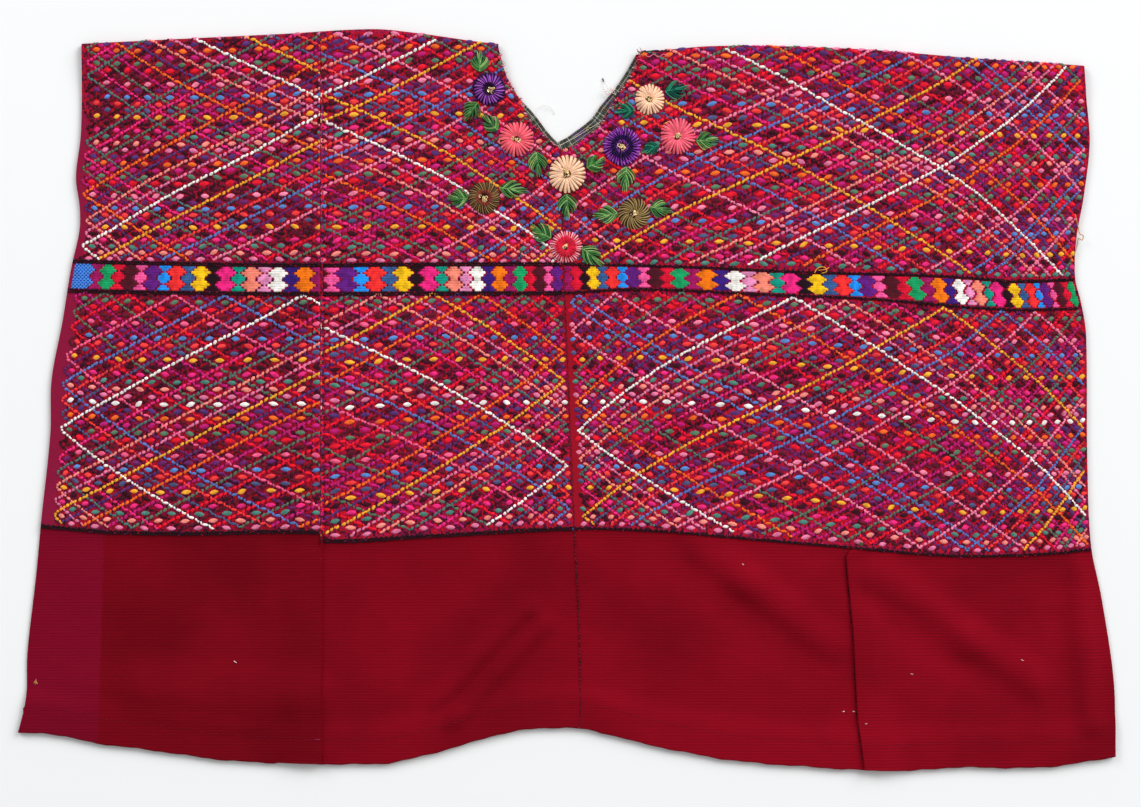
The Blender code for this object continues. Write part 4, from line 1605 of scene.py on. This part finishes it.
def makeFlower(flower, seed):
    x, y, radius = flower["place"]
    materials = [threadMaterial(flower["node"] + "Pad", flower["pad"]), goldThread, darkEye]
    stack = newStack("flower_" + flower["node"], materials, seed)
    draw = stack["draw"]

    def around(angle, out, lift):
        px, py = x + out * math.cos(angle), y + out * math.sin(angle)
        return px, py, frontTop(px, py) + lift

    addPad(stack, [
        [around(angle, radius * share, lift) for angle in turnsOf(36)] for share, lift in flowerPad
    ], 0)
    for count, low, high, thick, twist, *colours in flower["rings"]:
        slot = len(materials)
        materials += [
            threadMaterial(f"{flower['node']}Ray{slot}{n}", colour) for n, colour in enumerate(colours)
        ]
        over = ray["upperRing"] if high < 0.95 or low > 0.75 else 0.0  # a ring laid on another
        for k in range(count):
            angle = 2 * math.pi * k / count + draw.gauss(0, 0.02)
            end = high * draw.uniform(0.95, 1.04)
            path, radii = [], []
            for step in range(ray["steps"] + 1):
                t = step / ray["steps"]
                share = low + (end - low) * t
                drop = ray["tipDrop"] * smooth((t - 0.8) / 0.2)
                turn = angle + math.radians(twist) * t
                path.append(around(turn, radius * share, rayLift(share) + over - drop))
                swell = math.sin(math.pi * (0.16 + 0.62 * t)) ** 0.6
                radii.append(thick * swell * (0.55 + 0.45 * t))
            addTube(stack, path, radii, slot + k % 2)
    eye = radius * flower["eye"]
    for k in range(3 * flower["gold"]):
        angle, out = draw.uniform(0, 2 * math.pi), eye * draw.uniform(0.1, 1.0)
        tilt = (draw.uniform(-0.8, 0.8), draw.uniform(-0.8, 0.8), 1)
        addRing(
            stack, around(angle, out, ray["eyeLift"] + draw.uniform(0, 0.7)),
            draw.uniform(*ray["loop"]), ray["loopThick"], tilt, 2 if k % 4 == 3 else 1,
        )
    finishStack(stack, "rosette_" + flower["node"], slot=flowerSlots[flower["node"]])


flowerSlots = {
    "violet_upper": "thread_violet", "violet_lower": "thread_violet", "coral_left": "thread_coral",
    "coral_right": "thread_coral", "peach_centre": "thread_peach", "peach_right": "thread_peach",
    "olive_left": "thread_olive", "olive_right": "thread_olive", "rose_low": "thread_rose",
}
for number, flower in enumerate(flowers):
    makeFlower(flower, 40 + number)
print("flowers ready")

# leaves: x, y of the middle, direction of the tip, length, width
leaves = (
    (-71.5, 276.5, 92, 14, 11),
    (-78.5, 236.5, 232, 15, 11),
    (-62.5, 226.5, 135, 15, 10),
    (-24.0, 193.5, 277, 17, 12),
    (-44.5, 172.4, -6, 19, 11),
    (-89.0, 165.0, 178, 14, 12),
    (-21.0, 137.0, 148, 16, 12),
    (0.0, 159.0, 270, 17, 12),
    (23.3, 193.5, 28, 14, 11),
    (48.2, 181.5, 265, 17, 11),
    (68.6, 205.8, 200, 13, 8),
    (114.5, 212.6, 3, 15, 11),
    (47.8, 236.6, 182, 14, 10),
    (89.6, 254.2, 10, 17, 11),
    (32.2, 151.6, 184, 17, 11),
    (76.4, 156.4, -10, 15, 11),
    (20.4, 117.6, -40, 19, 11),
)
tealLeaves = (11, 13, 14)
leafThreads, tealThreads = (
    [
        threadMaterial(start + word, colour, 0.2 if word == "Pad" else 0.3)
        for word, colour in zip(("Pad", "Pale", "Green", "Deep"), colours)
    ]
    for start, colours in (
        ("leaf", ((14, 42, 22), (136, 176, 104), (76, 134, 66), (48, 104, 52))),
        ("teal", ((8, 40, 38), (40, 138, 104), (14, 100, 78), (8, 76, 66))),
    )
)
leafLook = {
    "strands": 8,  # on each side of the middle
    "long": 1.08,  # the strands reach past the solid's outline
    "broad": 1.34,
    "spacing": 0.088,
    "reach": 0.44,
    "thick": 0.6,
    "lift": 1.85,
    "drop": 0.9,
    "steps": 6,
}


def makeLeaf(number, x, y, direction, length, width):
    materials = tealThreads if number in tealLeaves else leafThreads
    stack = newStack(f"leafStitches_{number:02d}", materials, 70 + number)
    draw = stack["draw"]
    length, width = length * leafLook["long"], width * leafLook["broad"]
    turn = math.radians(direction)
    ahead = Vector((math.cos(turn), math.sin(turn)))
    aside = Vector((-ahead.y, ahead.x))
    base = Vector((x, y)) - ahead * length / 2

    def halfWidth(share):
        return width / 2 * math.sin(math.pi * min(1.0, 0.14 + 0.86 * share)) ** 0.7

    def spot(share, across, lift):
        p = base + ahead * share * length + aside * across
        return (p.x, p.y, frontTop(p.x, p.y) + lift)

    # the pad under the strands stays inside them
    outline = [(k / 9 * 0.9, halfWidth(k / 9) * 0.6) for k in range(10)]
    border = outline + [(share, -across) for share, across in outline[::-1]]
    addPad(stack, [
        [spot(share, across, 0.2) for share, across in border],
        [spot(share, across, 0.7) for share, across in border],
        [spot(0.5 + (share - 0.5) * 0.8, across * 0.5, 1.25) for share, across in border],
    ], 0)
    for hand in (1, -1):
        for k in range(leafLook["strands"]):
            start = leafLook["spacing"] * k + draw.uniform(-0.015, 0.015)
            long = leafLook["reach"] + 0.1 * k / leafLook["strands"]
            end = min(1.08, start + long + draw.uniform(-0.03, 0.05))
            reach = max(0.5, halfWidth(min(end, 0.96))) * draw.uniform(0.93, 1.05)
            path, radii = [], []
            for step in range(leafLook["steps"] + 1):
                t = step / leafLook["steps"]
                bend = math.sin(t * math.pi / 2)
                share = start + (end - start) * t
                lift = leafLook["lift"] - leafLook["drop"] * t * t
                path.append(spot(share, hand * (0.25 + (reach - 0.25) * bend), lift))
                radii.append(leafLook["thick"] * (1.0 - 0.2 * t) * (0.75 if step == 0 else 1.0))
            addTube(stack, path, radii, 1 + (k + (hand > 0) + draw.randrange(2)) % 3)
    # and one strand down the middle
    shares, radii = (0, 0.3, 0.6, 0.85, 1.12), (0.45, 0.5, 0.42, 0.32, 0.16)
    path = [spot(share, draw.uniform(-0.2, 0.2), 1.9 - share * 0.8) for share in shares]
    addTube(stack, path, radii, 1)
    finishStack(stack, f"leaf_{number:02d}", slot="leaf_thread")


for number, row in enumerate(leaves, 1):
    makeLeaf(number, *row)
print("leaves ready")


# a point on the front of either panel
def onCloth(x, y, lift=0.0):
    return Vector(frontPoint(sideAt(x, y), x, y, lift))


# facing inside the back's V: a dark grey-green strip with cross ribs
facing = {
    "low": 1.8, "high": 2.8, "mitre": 17.6, "ribStep": 1.35, "ribLift": 0.12, "lineLift": 0.42,
    "ribThreads": (1, 2, 2, 3, 3, 1, 2),
    "bright": (240, 250),  # heights on the right where bright ribs show, and a purple one
    "brightThreads": (4, 5, 2, 4),
    "purple": (218, 224),
    "lines": ((0.1, 2), (0.22, 1), (0.36, 2), (0.55, 1), (0.8, 2)),  # share across, thread
}
backFoot = (-8.0, cloth["backNeckPoint"])
backV = [(neckLines["backLeft"](y), y) for y in range(287, 211, -5)] + [backFoot]
backV += [(neckLines["backRight"](y), y) for y in range(215, 285, 5)]


def facingEdge(k):
    here = Vector(backV[k])
    before, after = Vector(backV[max(k - 1, 0)]), Vector(backV[min(k + 1, len(backV) - 1)])
    way = (after - before).normalized()
    outward = Vector((way.y, -way.x))
    reach = facing["mitre"] if k == backV.index(backFoot) else cloth["facingWidth"]
    return here, here + outward * reach


facingThreads = [
    threadMaterial("facingCloth", (98, 101, 90), 0.35),
    threadMaterial("facingPale", (176, 178, 166), 0.3),
    threadMaterial("facingDark", (54, 58, 52), 0.3),
    threadMaterial("facingGreen", (78, 92, 72), 0.3),
    threadMaterial("facingPurple", (104, 48, 128), 0.3),
    threadMaterial("facingBrown", (150, 84, 50), 0.3),
]
stack = newStack("neckFacing", facingThreads, 91)
edges = [facingEdge(k) for k in range(len(backV))]
outline = [inner for inner, _ in edges] + [outer for _, outer in edges[::-1]]
addPad(stack, [[(p.x, p.y, z) for p in outline] for z in (facing["low"], facing["high"])], 0)
for (inner, outer), (nextInner, nextOuter) in zip(edges, edges[1:]):
    count = max(1, round((nextInner - inner).length / facing["ribStep"]))
    for k in range(count):
        share = (k + stack["draw"].uniform(-0.2, 0.2)) / count
        low, high = inner.lerp(nextInner, share), outer.lerp(nextOuter, share)
        slot = stack["draw"].choice(facing["ribThreads"])
        if facing["bright"][0] < low.y < facing["bright"][1] and low.x > 0:
            slot = stack["draw"].choice(facing["brightThreads"])
        elif facing["purple"][0] < low.y < facing["purple"][1] and low.x > 0:
            slot = 4
        top = facing["high"] + facing["ribLift"]
        path = [(*low.lerp(high, t), top) for t in (0.0, 0.35, 0.7, 0.98)]
        addTube(stack, path, [0.3, 0.36, 0.36, 0.3], slot, 4)
top = facing["high"] + facing["lineLift"]
for aside, slot in facing["lines"]:
    path = [(*inner.lerp(outer, aside), top) for inner, outer in edges]
    addTube(stack, path, [0.22] * len(path), slot, 4)
finishStack(stack, "neck_facing", slot="facing")
print("facing ready")

# hems: the turned-up strip inside, and the round fold along the edge
hems = {"frontRadius": 1.15, "foldedRadius": 0.72, "backRadius": 0.92, "backMiddle": 1.375,
        "backStrip": 1.8, "inset": 1.0, "endsY": -262, "seamY": -270, "columns": 60, "rows": 4,
        # an uneven edge: height, length and shift of its waves
        "waves": ((0.35, 7.3, 0.0), (0.3, 3.1, 1.7))}


def hemStrip(name, side, front):
    seamX = centreSeam(hems["seamY"]) + side * cloth["gap"]
    sideX = (leftEdge if side < 0 else rightEdge)(hems["endsY"]) - side * hems["inset"]
    rows = []
    for r in range(hems["rows"] + 1):
        row = []
        for k in range(hems["columns"] + 1):
            x = seamX + (sideX - seamX) * k / hems["columns"]
            y = hem(x) + cloth["hemDepth"] * r / hems["rows"]
            under = frontHeight(x, y) - wallAt(x, y) / 2 - cloth["gap"] - cloth["hemWall"] / 2
            row.append((x, y, under if front else hems["backStrip"], cloth["hemWall"], 0))
        rows.append(row)
    outer, inner = thicken(rows, side)
    made = wallPiece(name, outer, inner, [0] * len(rows), [plainCloth], flip=side < 0)
    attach(made, "root")
    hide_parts("hem_" + ("front_" if front else "back_") + ("left" if side < 0 else "right"))


for side, word in ((-1, "Left"), (1, "Right")):
    hemStrip("hemFront" + word, side, True)
    hemStrip("hemBack" + word, side, False)
    stack = newStack("hemFold" + word, [plainCloth])
    row = gridRow(side, hem, centreSeam, True)
    path, radii = [], []
    for x, y, up in row:
        folded = up > 0.01
        radius = hems["foldedRadius"] if folded else hems["frontRadius"]
        top = frontHeight(x, y) + up + cloth["plainWall"] / 2
        bump = sum(tall * math.sin(x / long + shift) for tall, long, shift in hems["waves"])
        path.append((x, y + (0 if folded else bump), top - radius))
        radii.append(radius)
    addTube(stack, path, radii, 0, 8)
    path = [(x, y, hems["backMiddle"]) for x, y, _ in gridRow(side, hem, centreSeam, False)]
    addTube(stack, path, [hems["backRadius"]] * len(path), 0, 8)
    finishStack(stack, slot="plain_cloth")
print("hems ready")

# sewing: the centre seam, the tuck, the dart and the hem's fine stitches
sewingThreads = [
    threadMaterial("seamDark", (62, 9, 26), 0.3),
    threadMaterial("seamWine", (110, 12, 42), 0.3),
    threadMaterial("seamPink", (170, 52, 84), 0.3),
    threadMaterial("tackPale", (226, 190, 182), 0.3),
    threadMaterial("tackGreen", (70, 110, 60), 0.3),
    threadMaterial("tackBlue", (60, 110, 200), 0.3),
]


def addStitch(stack, x0, y0, x1, y1, thick, slot, rise=0.35):
    path, radii = [], []
    for t in (0.0, 0.25, 0.5, 0.75, 1.0):
        arch = math.sin(math.pi * t)
        path.append(onCloth(x0 + (x1 - x0) * t, y0 + (y1 - y0) * t, rise * arch + thick * 0.2))
        radii.append(thick * (0.55 + 0.45 * arch))
    addTube(stack, path, radii, slot)


# stitches along a line given as x at each y
def sewDown(stack, line, top, bottom, step, length, lean, thick, slots, aside):
    draw = stack["draw"]
    y, count = top, 0
    while y > bottom:
        x = line(y) + aside + draw.gauss(0, 0.15)
        hand = 1 if count % 2 else -1
        tall = length * draw.uniform(0.85, 1.1)
        addStitch(
            stack, x - hand * lean, y + tall / 2, x + hand * lean, y - tall / 2,
            thick, draw.choice(slots),
        )
        y -= step
        count += 1


def dartX(y):
    return readRow(tuckRows[1], y)[0]


# a rounded roll of cloth fills the step beside the tuck's fold, and runs out below the shoulder
tuckRoll = {"radius": 0.95, "out": 0.8, "up": 0.6, "foot": -292, "step": 8.3, "count": 70,
            "top": 288, "runOut": 40, "plainTop": -108, "beside": 3.0}
rollYs = [tuckRoll["foot"] + tuckRoll["step"] * k for k in range(tuckRoll["count"])]
rollPath = [
    (tuck["leftX"] + tuckRoll["out"], y,
     onCloth(tuck["leftX"] + tuckRoll["beside"], y).z + tuckRoll["up"])
    for y in rollYs
]
rollRadii = [
    tuckRoll["radius"] * min(1.0, (tuckRoll["top"] - y) / tuckRoll["runOut"]) for y in rollYs
]
plainCount = sum(y < tuckRoll["plainTop"] for y in rollYs)
stack = newStack("tuckRoll", [plainCloth, groundCloth])
addTube(stack, rollPath[:plainCount + 1], rollRadii[:plainCount + 1], 0, 8)
addTube(stack, rollPath[plainCount:], rollRadii[plainCount:], 1, 8)
finishStack(stack, slot="brocade")

# short floats that carry the brocade down over the tuck's edge
rollFloats = {
    "low": -110.0, "high": 262, "step": 1.7, "offBand": 2,
    "size": (4.4, 2.1, 0.7), "aside": (0.2, 1.4), "turns": (8, -8, 40, -50),
    "yarns": "rmnprmxrmnxpvnr", "reach": (3.0, 3.4), "lift": 1.7, "fall": 0.5,
}


def rollPoint(side, x, y, lift):
    top = onCloth(tuck["leftX"] + tuckRoll["beside"], y).z + rollFloats["lift"]
    return (x, y, top + lift - rollFloats["fall"] * max(0, x - tuck["leftX"]))


def rollLimits(y):
    return tuck["leftX"] - rollFloats["reach"][0], tuck["leftX"] + rollFloats["reach"][1]


heap = newHeap("tuckFloats", fineShapes, 33)
rollZone = {"side": -1, "limits": rollLimits, "flip": False, "point": rollPoint}
draw = heap["draw"]
bandLow = bandBottom(tuck["leftX"]) - rollFloats["offBand"]
bandHigh = bandTop(tuck["leftX"]) + rollFloats["offBand"]
y = rollFloats["low"]
while y < rollFloats["high"]:
    if not bandLow < y < bandHigh:
        layFloat(
            heap, rollZone, "bead", tuck["leftX"] + draw.uniform(*rollFloats["aside"]), y,
            *rollFloats["size"], draw.choice(rollFloats["turns"]), draw.choice(rollFloats["yarns"]),
        )
    y += rollFloats["step"]
finishHeap(heap)

# the centre seam, the tuck and the dart: the line, its top and bottom, the step, a stitch's
# length, lean and thickness, the threads, and how far the stitches lie beside the line
seams = (
    (centreSeam, 204, -268, 3.1, 3.2, 0.6, 0.42, (0, 1, 1), 0.0),
    (lambda y: tuck["leftX"], -112, -292, 3.0, 1.6, 0.4, 0.36, (2, 2, 1), 1.1),
    (dartX, -121, -296, 3.6, 3.0, 0.25, 0.34, (0, 1, 1), -0.9),
)
hemStitch = {"step": 5.6, "long": 2.3, "lean": 0.2, "thick": 0.2, "rise": 0.2, "scatter": 0.25,
             "offSide": 3, "spans": ((-440.0, 5.0), (12.0, 444.0))}

stack = newStack("sewing", sewingThreads, 92)
for seam in seams:
    sewDown(stack, *seam)
for x, end in hemStitch["spans"]:
    while x < end:
        y = hem(x) + cloth["hemDepth"] + stack["draw"].gauss(0, hemStitch["scatter"])
        if leftEdge(y) + hemStitch["offSide"] < x < rightEdge(y) - hemStitch["offSide"]:
            addStitch(
                stack, x, y, x + hemStitch["long"], y + hemStitch["lean"], hemStitch["thick"], 1,
                hemStitch["rise"],
            )
        x += hemStitch["step"]
# tacking stitches: three by the dart's foot, then by the tuck's, the dart's head and the seam
for x, y in ((227.1, -256.3), (235.3, -256.3), (245.2, -266.0)):
    addStitch(stack, x - 0.8, y, x + 0.8, y + 0.3, 0.5, 3)
addStitch(stack, -206.5, -278.2, -201.2, -278.6, 0.32, 2)
for k in range(4):
    addStitch(stack, -201.4, -279 - 2.1 * k, -201.1, -280.2 - 2.1 * k, 0.3, 3)
for k in range(3):
    addStitch(stack, 239.6, -119 + k, 242.6, -119.6 + k, 0.5, 4, 0.8)
addStitch(stack, 4.2, -104.6, 5.6, -107.8, 0.5, 5, 0.7)
finishStack(stack, slot="plain_cloth")
print("sewing ready")

# loose threads and lint: colour, thickness, then x, y, height over the cloth
threadColours = {
    "pale": (236, 214, 206), "pink": (226, 110, 140), "yellow": (244, 186, 60),
    "tan": (190, 142, 70), "dark": (40, 30, 34), "red": (176, 22, 54), "white": (246, 240, 236),
    "olive": (150, 140, 60),
}
loose = (
    ("white", 0.3, (-273.4, -214.8, 0.3), (-272.2, -215.3, 0.7), (-271.2, -216.2, 0.3)),
    ("tan", 0.5, (-437.5, -232.8, 0.3), (-436.2, -231.2, 0.9), (-434.8, -233.4, 0.4)),
    ("pink", 0.3, (-436, -229.5, 0.3), (-435.8, -232, 0.8), (-436.6, -234, 0.3)),
    ("tan", 0.4, (417, 152, 0.4), (419, 143, 0.8), (420.6, 136, 1.2), (423.4, 134.5, 1.6),
     (422.6, 130.6, 1.4), (419.6, 132, 1.2), (418.4, 126, 0.9), (416.6, 120, 0.5)),
    ("yellow", 0.3, (203, 104, 1.4), (206, 108, 2.0), (211, 108.5, 2.0), (213, 105, 1.8),
     (209, 103.5, 1.6)),
    ("yellow", 0.25, (206, 106, 1.4), (212, 106.6, 2.2), (215, 108.4, 1.6)),
    ("white", 0.22, (143.4, -134.5, 0.3), (144.9, -135.4, 0.5)),
    ("white", 0.22, (372.2, -213.2, 0.3), (374.1, -214.0, 0.5)),
    ("white", 0.22, (282.0, -224.8, 0.3), (283.8, -225.5, 0.5)),
    ("dark", 0.42, (61.5, 284.6, 0.6), (68, 285.3, 0.8), (76, 285.3, 0.7), (84.5, 285, 0.5)),
    ("pink", 0.35, (63, 283.2, 0.5), (67, 280.6, 1.2), (71, 282.8, 0.6), (75, 280.4, 1.2),
     (79, 282.8, 0.6), (83, 281, 1.0)),
)
# the same, with real heights over the table: these lie in the V or past the hem
hanging = (
    ("pale", 0.2, (-5.7, 208.7, 3.6), (6, 214.5, 3.8), (17.5, 221.6, 3.9), (27.1, 227.6, 3.7)),
    ("pale", 0.16, (-24, 238.6, 4.0), (-20, 241, 3.0), (-15, 240.4, 2.0), (-11, 237, 1.0),
     (-10.4, 234, 0.5)),
    ("olive", 0.4, (15.6, 221.4, 3.8), (17.2, 223.4, 4.3), (19, 222, 3.8)),
    ("pale", 0.2, (40.2, 249.7, 4.6), (35, 253, 4.2), (31.5, 258, 2.4), (29.9, 261.2, 0.8)),
    ("dark", 0.42, (30.3, 261.0, 1.0), (29.7, 262.4, 0.8), (29.3, 264.0, 0.6)),
    ("dark", 0.2, (431, -284, 3.6), (433.5, -288, 2.0), (435.5, -293, 0.6), (438, -296, 0.4)),
)


def softPath(points, steps=4):
    points = [Vector(p) for p in points]
    path = []
    for k in range(len(points) - 1):
        before, after = points[max(k - 1, 0)], points[min(k + 2, len(points) - 1)]
        here, following = points[k], points[k + 1]
        for step in range(steps):
            t = step / steps
            path.append(0.5 * (
                2 * here + (following - before) * t
                + (2 * before - 5 * here + 4 * following - after) * t**2
                + (3 * here - before - 3 * following + after) * t**3
            ))
    return path + [points[-1]]


colourNames = list(threadColours)
looseMaterials = [threadMaterial(word + "Loose", threadColours[word]) for word in colourNames]
stack = newStack("looseThreads", looseMaterials, 93)
draw = stack["draw"]
laid = [(word, thick, [onCloth(*p) for p in points]) for word, thick, *points in loose]
for word, thick, points in laid + [(word, thick, points) for word, thick, *points in hanging]:
    path = softPath(points)
    addTube(stack, path, [thick] * len(path), colourNames.index(word))


# short hairs: how many, where they start, how far they go, and their thickness along them
tuft = {"hairs": 16, "x": 35.5, "y": 252, "wide": 4.5, "high": 2.2, "foot": 4.2, "crest": 5.2,
        "goX": (-4, 1), "goY": (0, 4), "ends": (3.4, 5.2), "radii": (0.22, 0.2, 0.1)}
fray = {"hairs": 95, "y": (207, 284), "inset": 0.6, "foot": 0.8, "reach": (0.8, 2.4),
        "bend": 0.4, "bendY": (-0.4, 0.6), "rise": 0.25, "goY": (-1.4, 1.8), "drop": (0.2, 1.2),
        "radii": (0.26, 0.22, 0.1), "threads": ("pink", "red", "red", "pale", "dark", "pink")}
frayedCorner = {"hairs": 14, "x": (57, 63), "y": (281.5, 284.5), "clothX": 61,
                "goX": (-3.5, 1.5), "goY": (1, 5), "goUp": (-0.4, 1.0), "rise": 1.0,
                "radii": (0.28, 0.24, 0.12), "threads": ("dark", "dark", "pale", "red")}


def addHair(start, middle, end, radii, word):
    addTube(stack, [start, middle, end], radii, colourNames.index(word), 4)


# pale tuft on the facing's edge
for _ in range(tuft["hairs"]):
    x = tuft["x"] + draw.uniform(-tuft["wide"], tuft["wide"])
    y = tuft["y"] + draw.uniform(-tuft["high"], tuft["high"])
    end = (x + draw.uniform(*tuft["goX"]), y + draw.uniform(*tuft["goY"]),
           draw.uniform(*tuft["ends"]))
    middle = ((x + end[0]) / 2, (y + end[1]) / 2, tuft["crest"])
    addHair((x, y, tuft["foot"]), middle, end, tuft["radii"], "pale")
# frayed ends along both cut edges of the V
for word, hand in (("frontLeft", 1), ("frontRight", -1)):
    for _ in range(fray["hairs"]):
        y = draw.uniform(*fray["y"])
        x = neckLines[word](y) - hand * fray["inset"]
        top = onCloth(x - hand * fray["foot"], y)
        reach = draw.uniform(*fray["reach"])
        end = (x + hand * reach, y + draw.uniform(*fray["goY"]),
               top.z - draw.uniform(*fray["drop"]))
        middle = (x + hand * reach * fray["bend"], y + draw.uniform(*fray["bendY"]),
                  top.z + fray["rise"])
        addHair(top, middle, end, fray["radii"], draw.choice(fray["threads"]))
# and the frayed corner right of the V
for _ in range(frayedCorner["hairs"]):
    x, y = draw.uniform(*frayedCorner["x"]), draw.uniform(*frayedCorner["y"])
    top = onCloth(max(x, frayedCorner["clothX"]), y)
    end = (x + draw.uniform(*frayedCorner["goX"]), y + draw.uniform(*frayedCorner["goY"]),
           top.z + draw.uniform(*frayedCorner["goUp"]))
    middle = ((x + end[0]) / 2, (y + end[1]) / 2, top.z + frayedCorner["rise"])
    addHair(top, middle, end, frayedCorner["radii"], draw.choice(frayedCorner["threads"]))
finishStack(stack, slot="brocade")
print("threads ready")

# floor, light and camera
studio = {
    "floor": (0.86, 0.87, 0.874, 1),
    "room": (0.975, 0.985, 0.99, 1),
    "roomStrength": 0.47,
    "frameWidth": 0.9356,  # what the camera takes in across the table
    "lens": 85.0,
    "sensor": 36.0,
    "centre": (0.0029, -0.0033),
    "cloth": 0.005,
}
floorData = bpy.data.meshes.new("floor")
floorData.from_pydata([(-6, -6, 0), (6, -6, 0), (6, 6, 0), (-6, 6, 0)], [], [(0, 1, 2, 3)])
floor = bpy.data.objects.new("floor", floorData)
bpy.context.scene.collection.objects.link(floor)
floorLook = bpy.data.materials.new("paleFloor")
floorLook.use_nodes = True
floorShader = floorLook.node_tree.nodes["Principled BSDF"]
floorShader.inputs["Base Color"].default_value = studio["floor"]
floorShader.inputs["Roughness"].default_value = 0.9
floorData.materials.append(floorLook)

world = bpy.data.worlds.new("softRoom")
world.use_nodes = True
world.node_tree.nodes["Background"].inputs["Color"].default_value = studio["room"]
world.node_tree.nodes["Background"].inputs["Strength"].default_value = studio["roomStrength"]
bpy.context.scene.world = world
for name, place, size, power in (
    ("windowLight", (4.8, 4.3, 4.6), 5.4, 545.0),
    ("fillLight", (-3.2, 3.6, 3.0), 2.4, 120.0),
):
    lamp = bpy.data.lights.new(name, "AREA")
    lamp.energy, lamp.size = power, size
    lampObject = bpy.data.objects.new(name, lamp)
    lampObject.location = place
    lampObject.rotation_euler = (-Vector(place)).to_track_quat("-Z", "Y").to_euler()
    bpy.context.scene.collection.objects.link(lampObject)

camera = bpy.data.cameras.new("tableCamera")
camera.lens, camera.sensor_width = studio["lens"], studio["sensor"]
cameraObject = bpy.data.objects.new("tableCamera", camera)
away = studio["frameWidth"] * studio["lens"] / studio["sensor"]
cameraObject.location = (*studio["centre"], studio["cloth"] + away)
bpy.context.scene.collection.objects.link(cameraObject)
bpy.context.scene.camera = cameraObject
bpy.context.scene.view_settings.view_transform = "Standard"
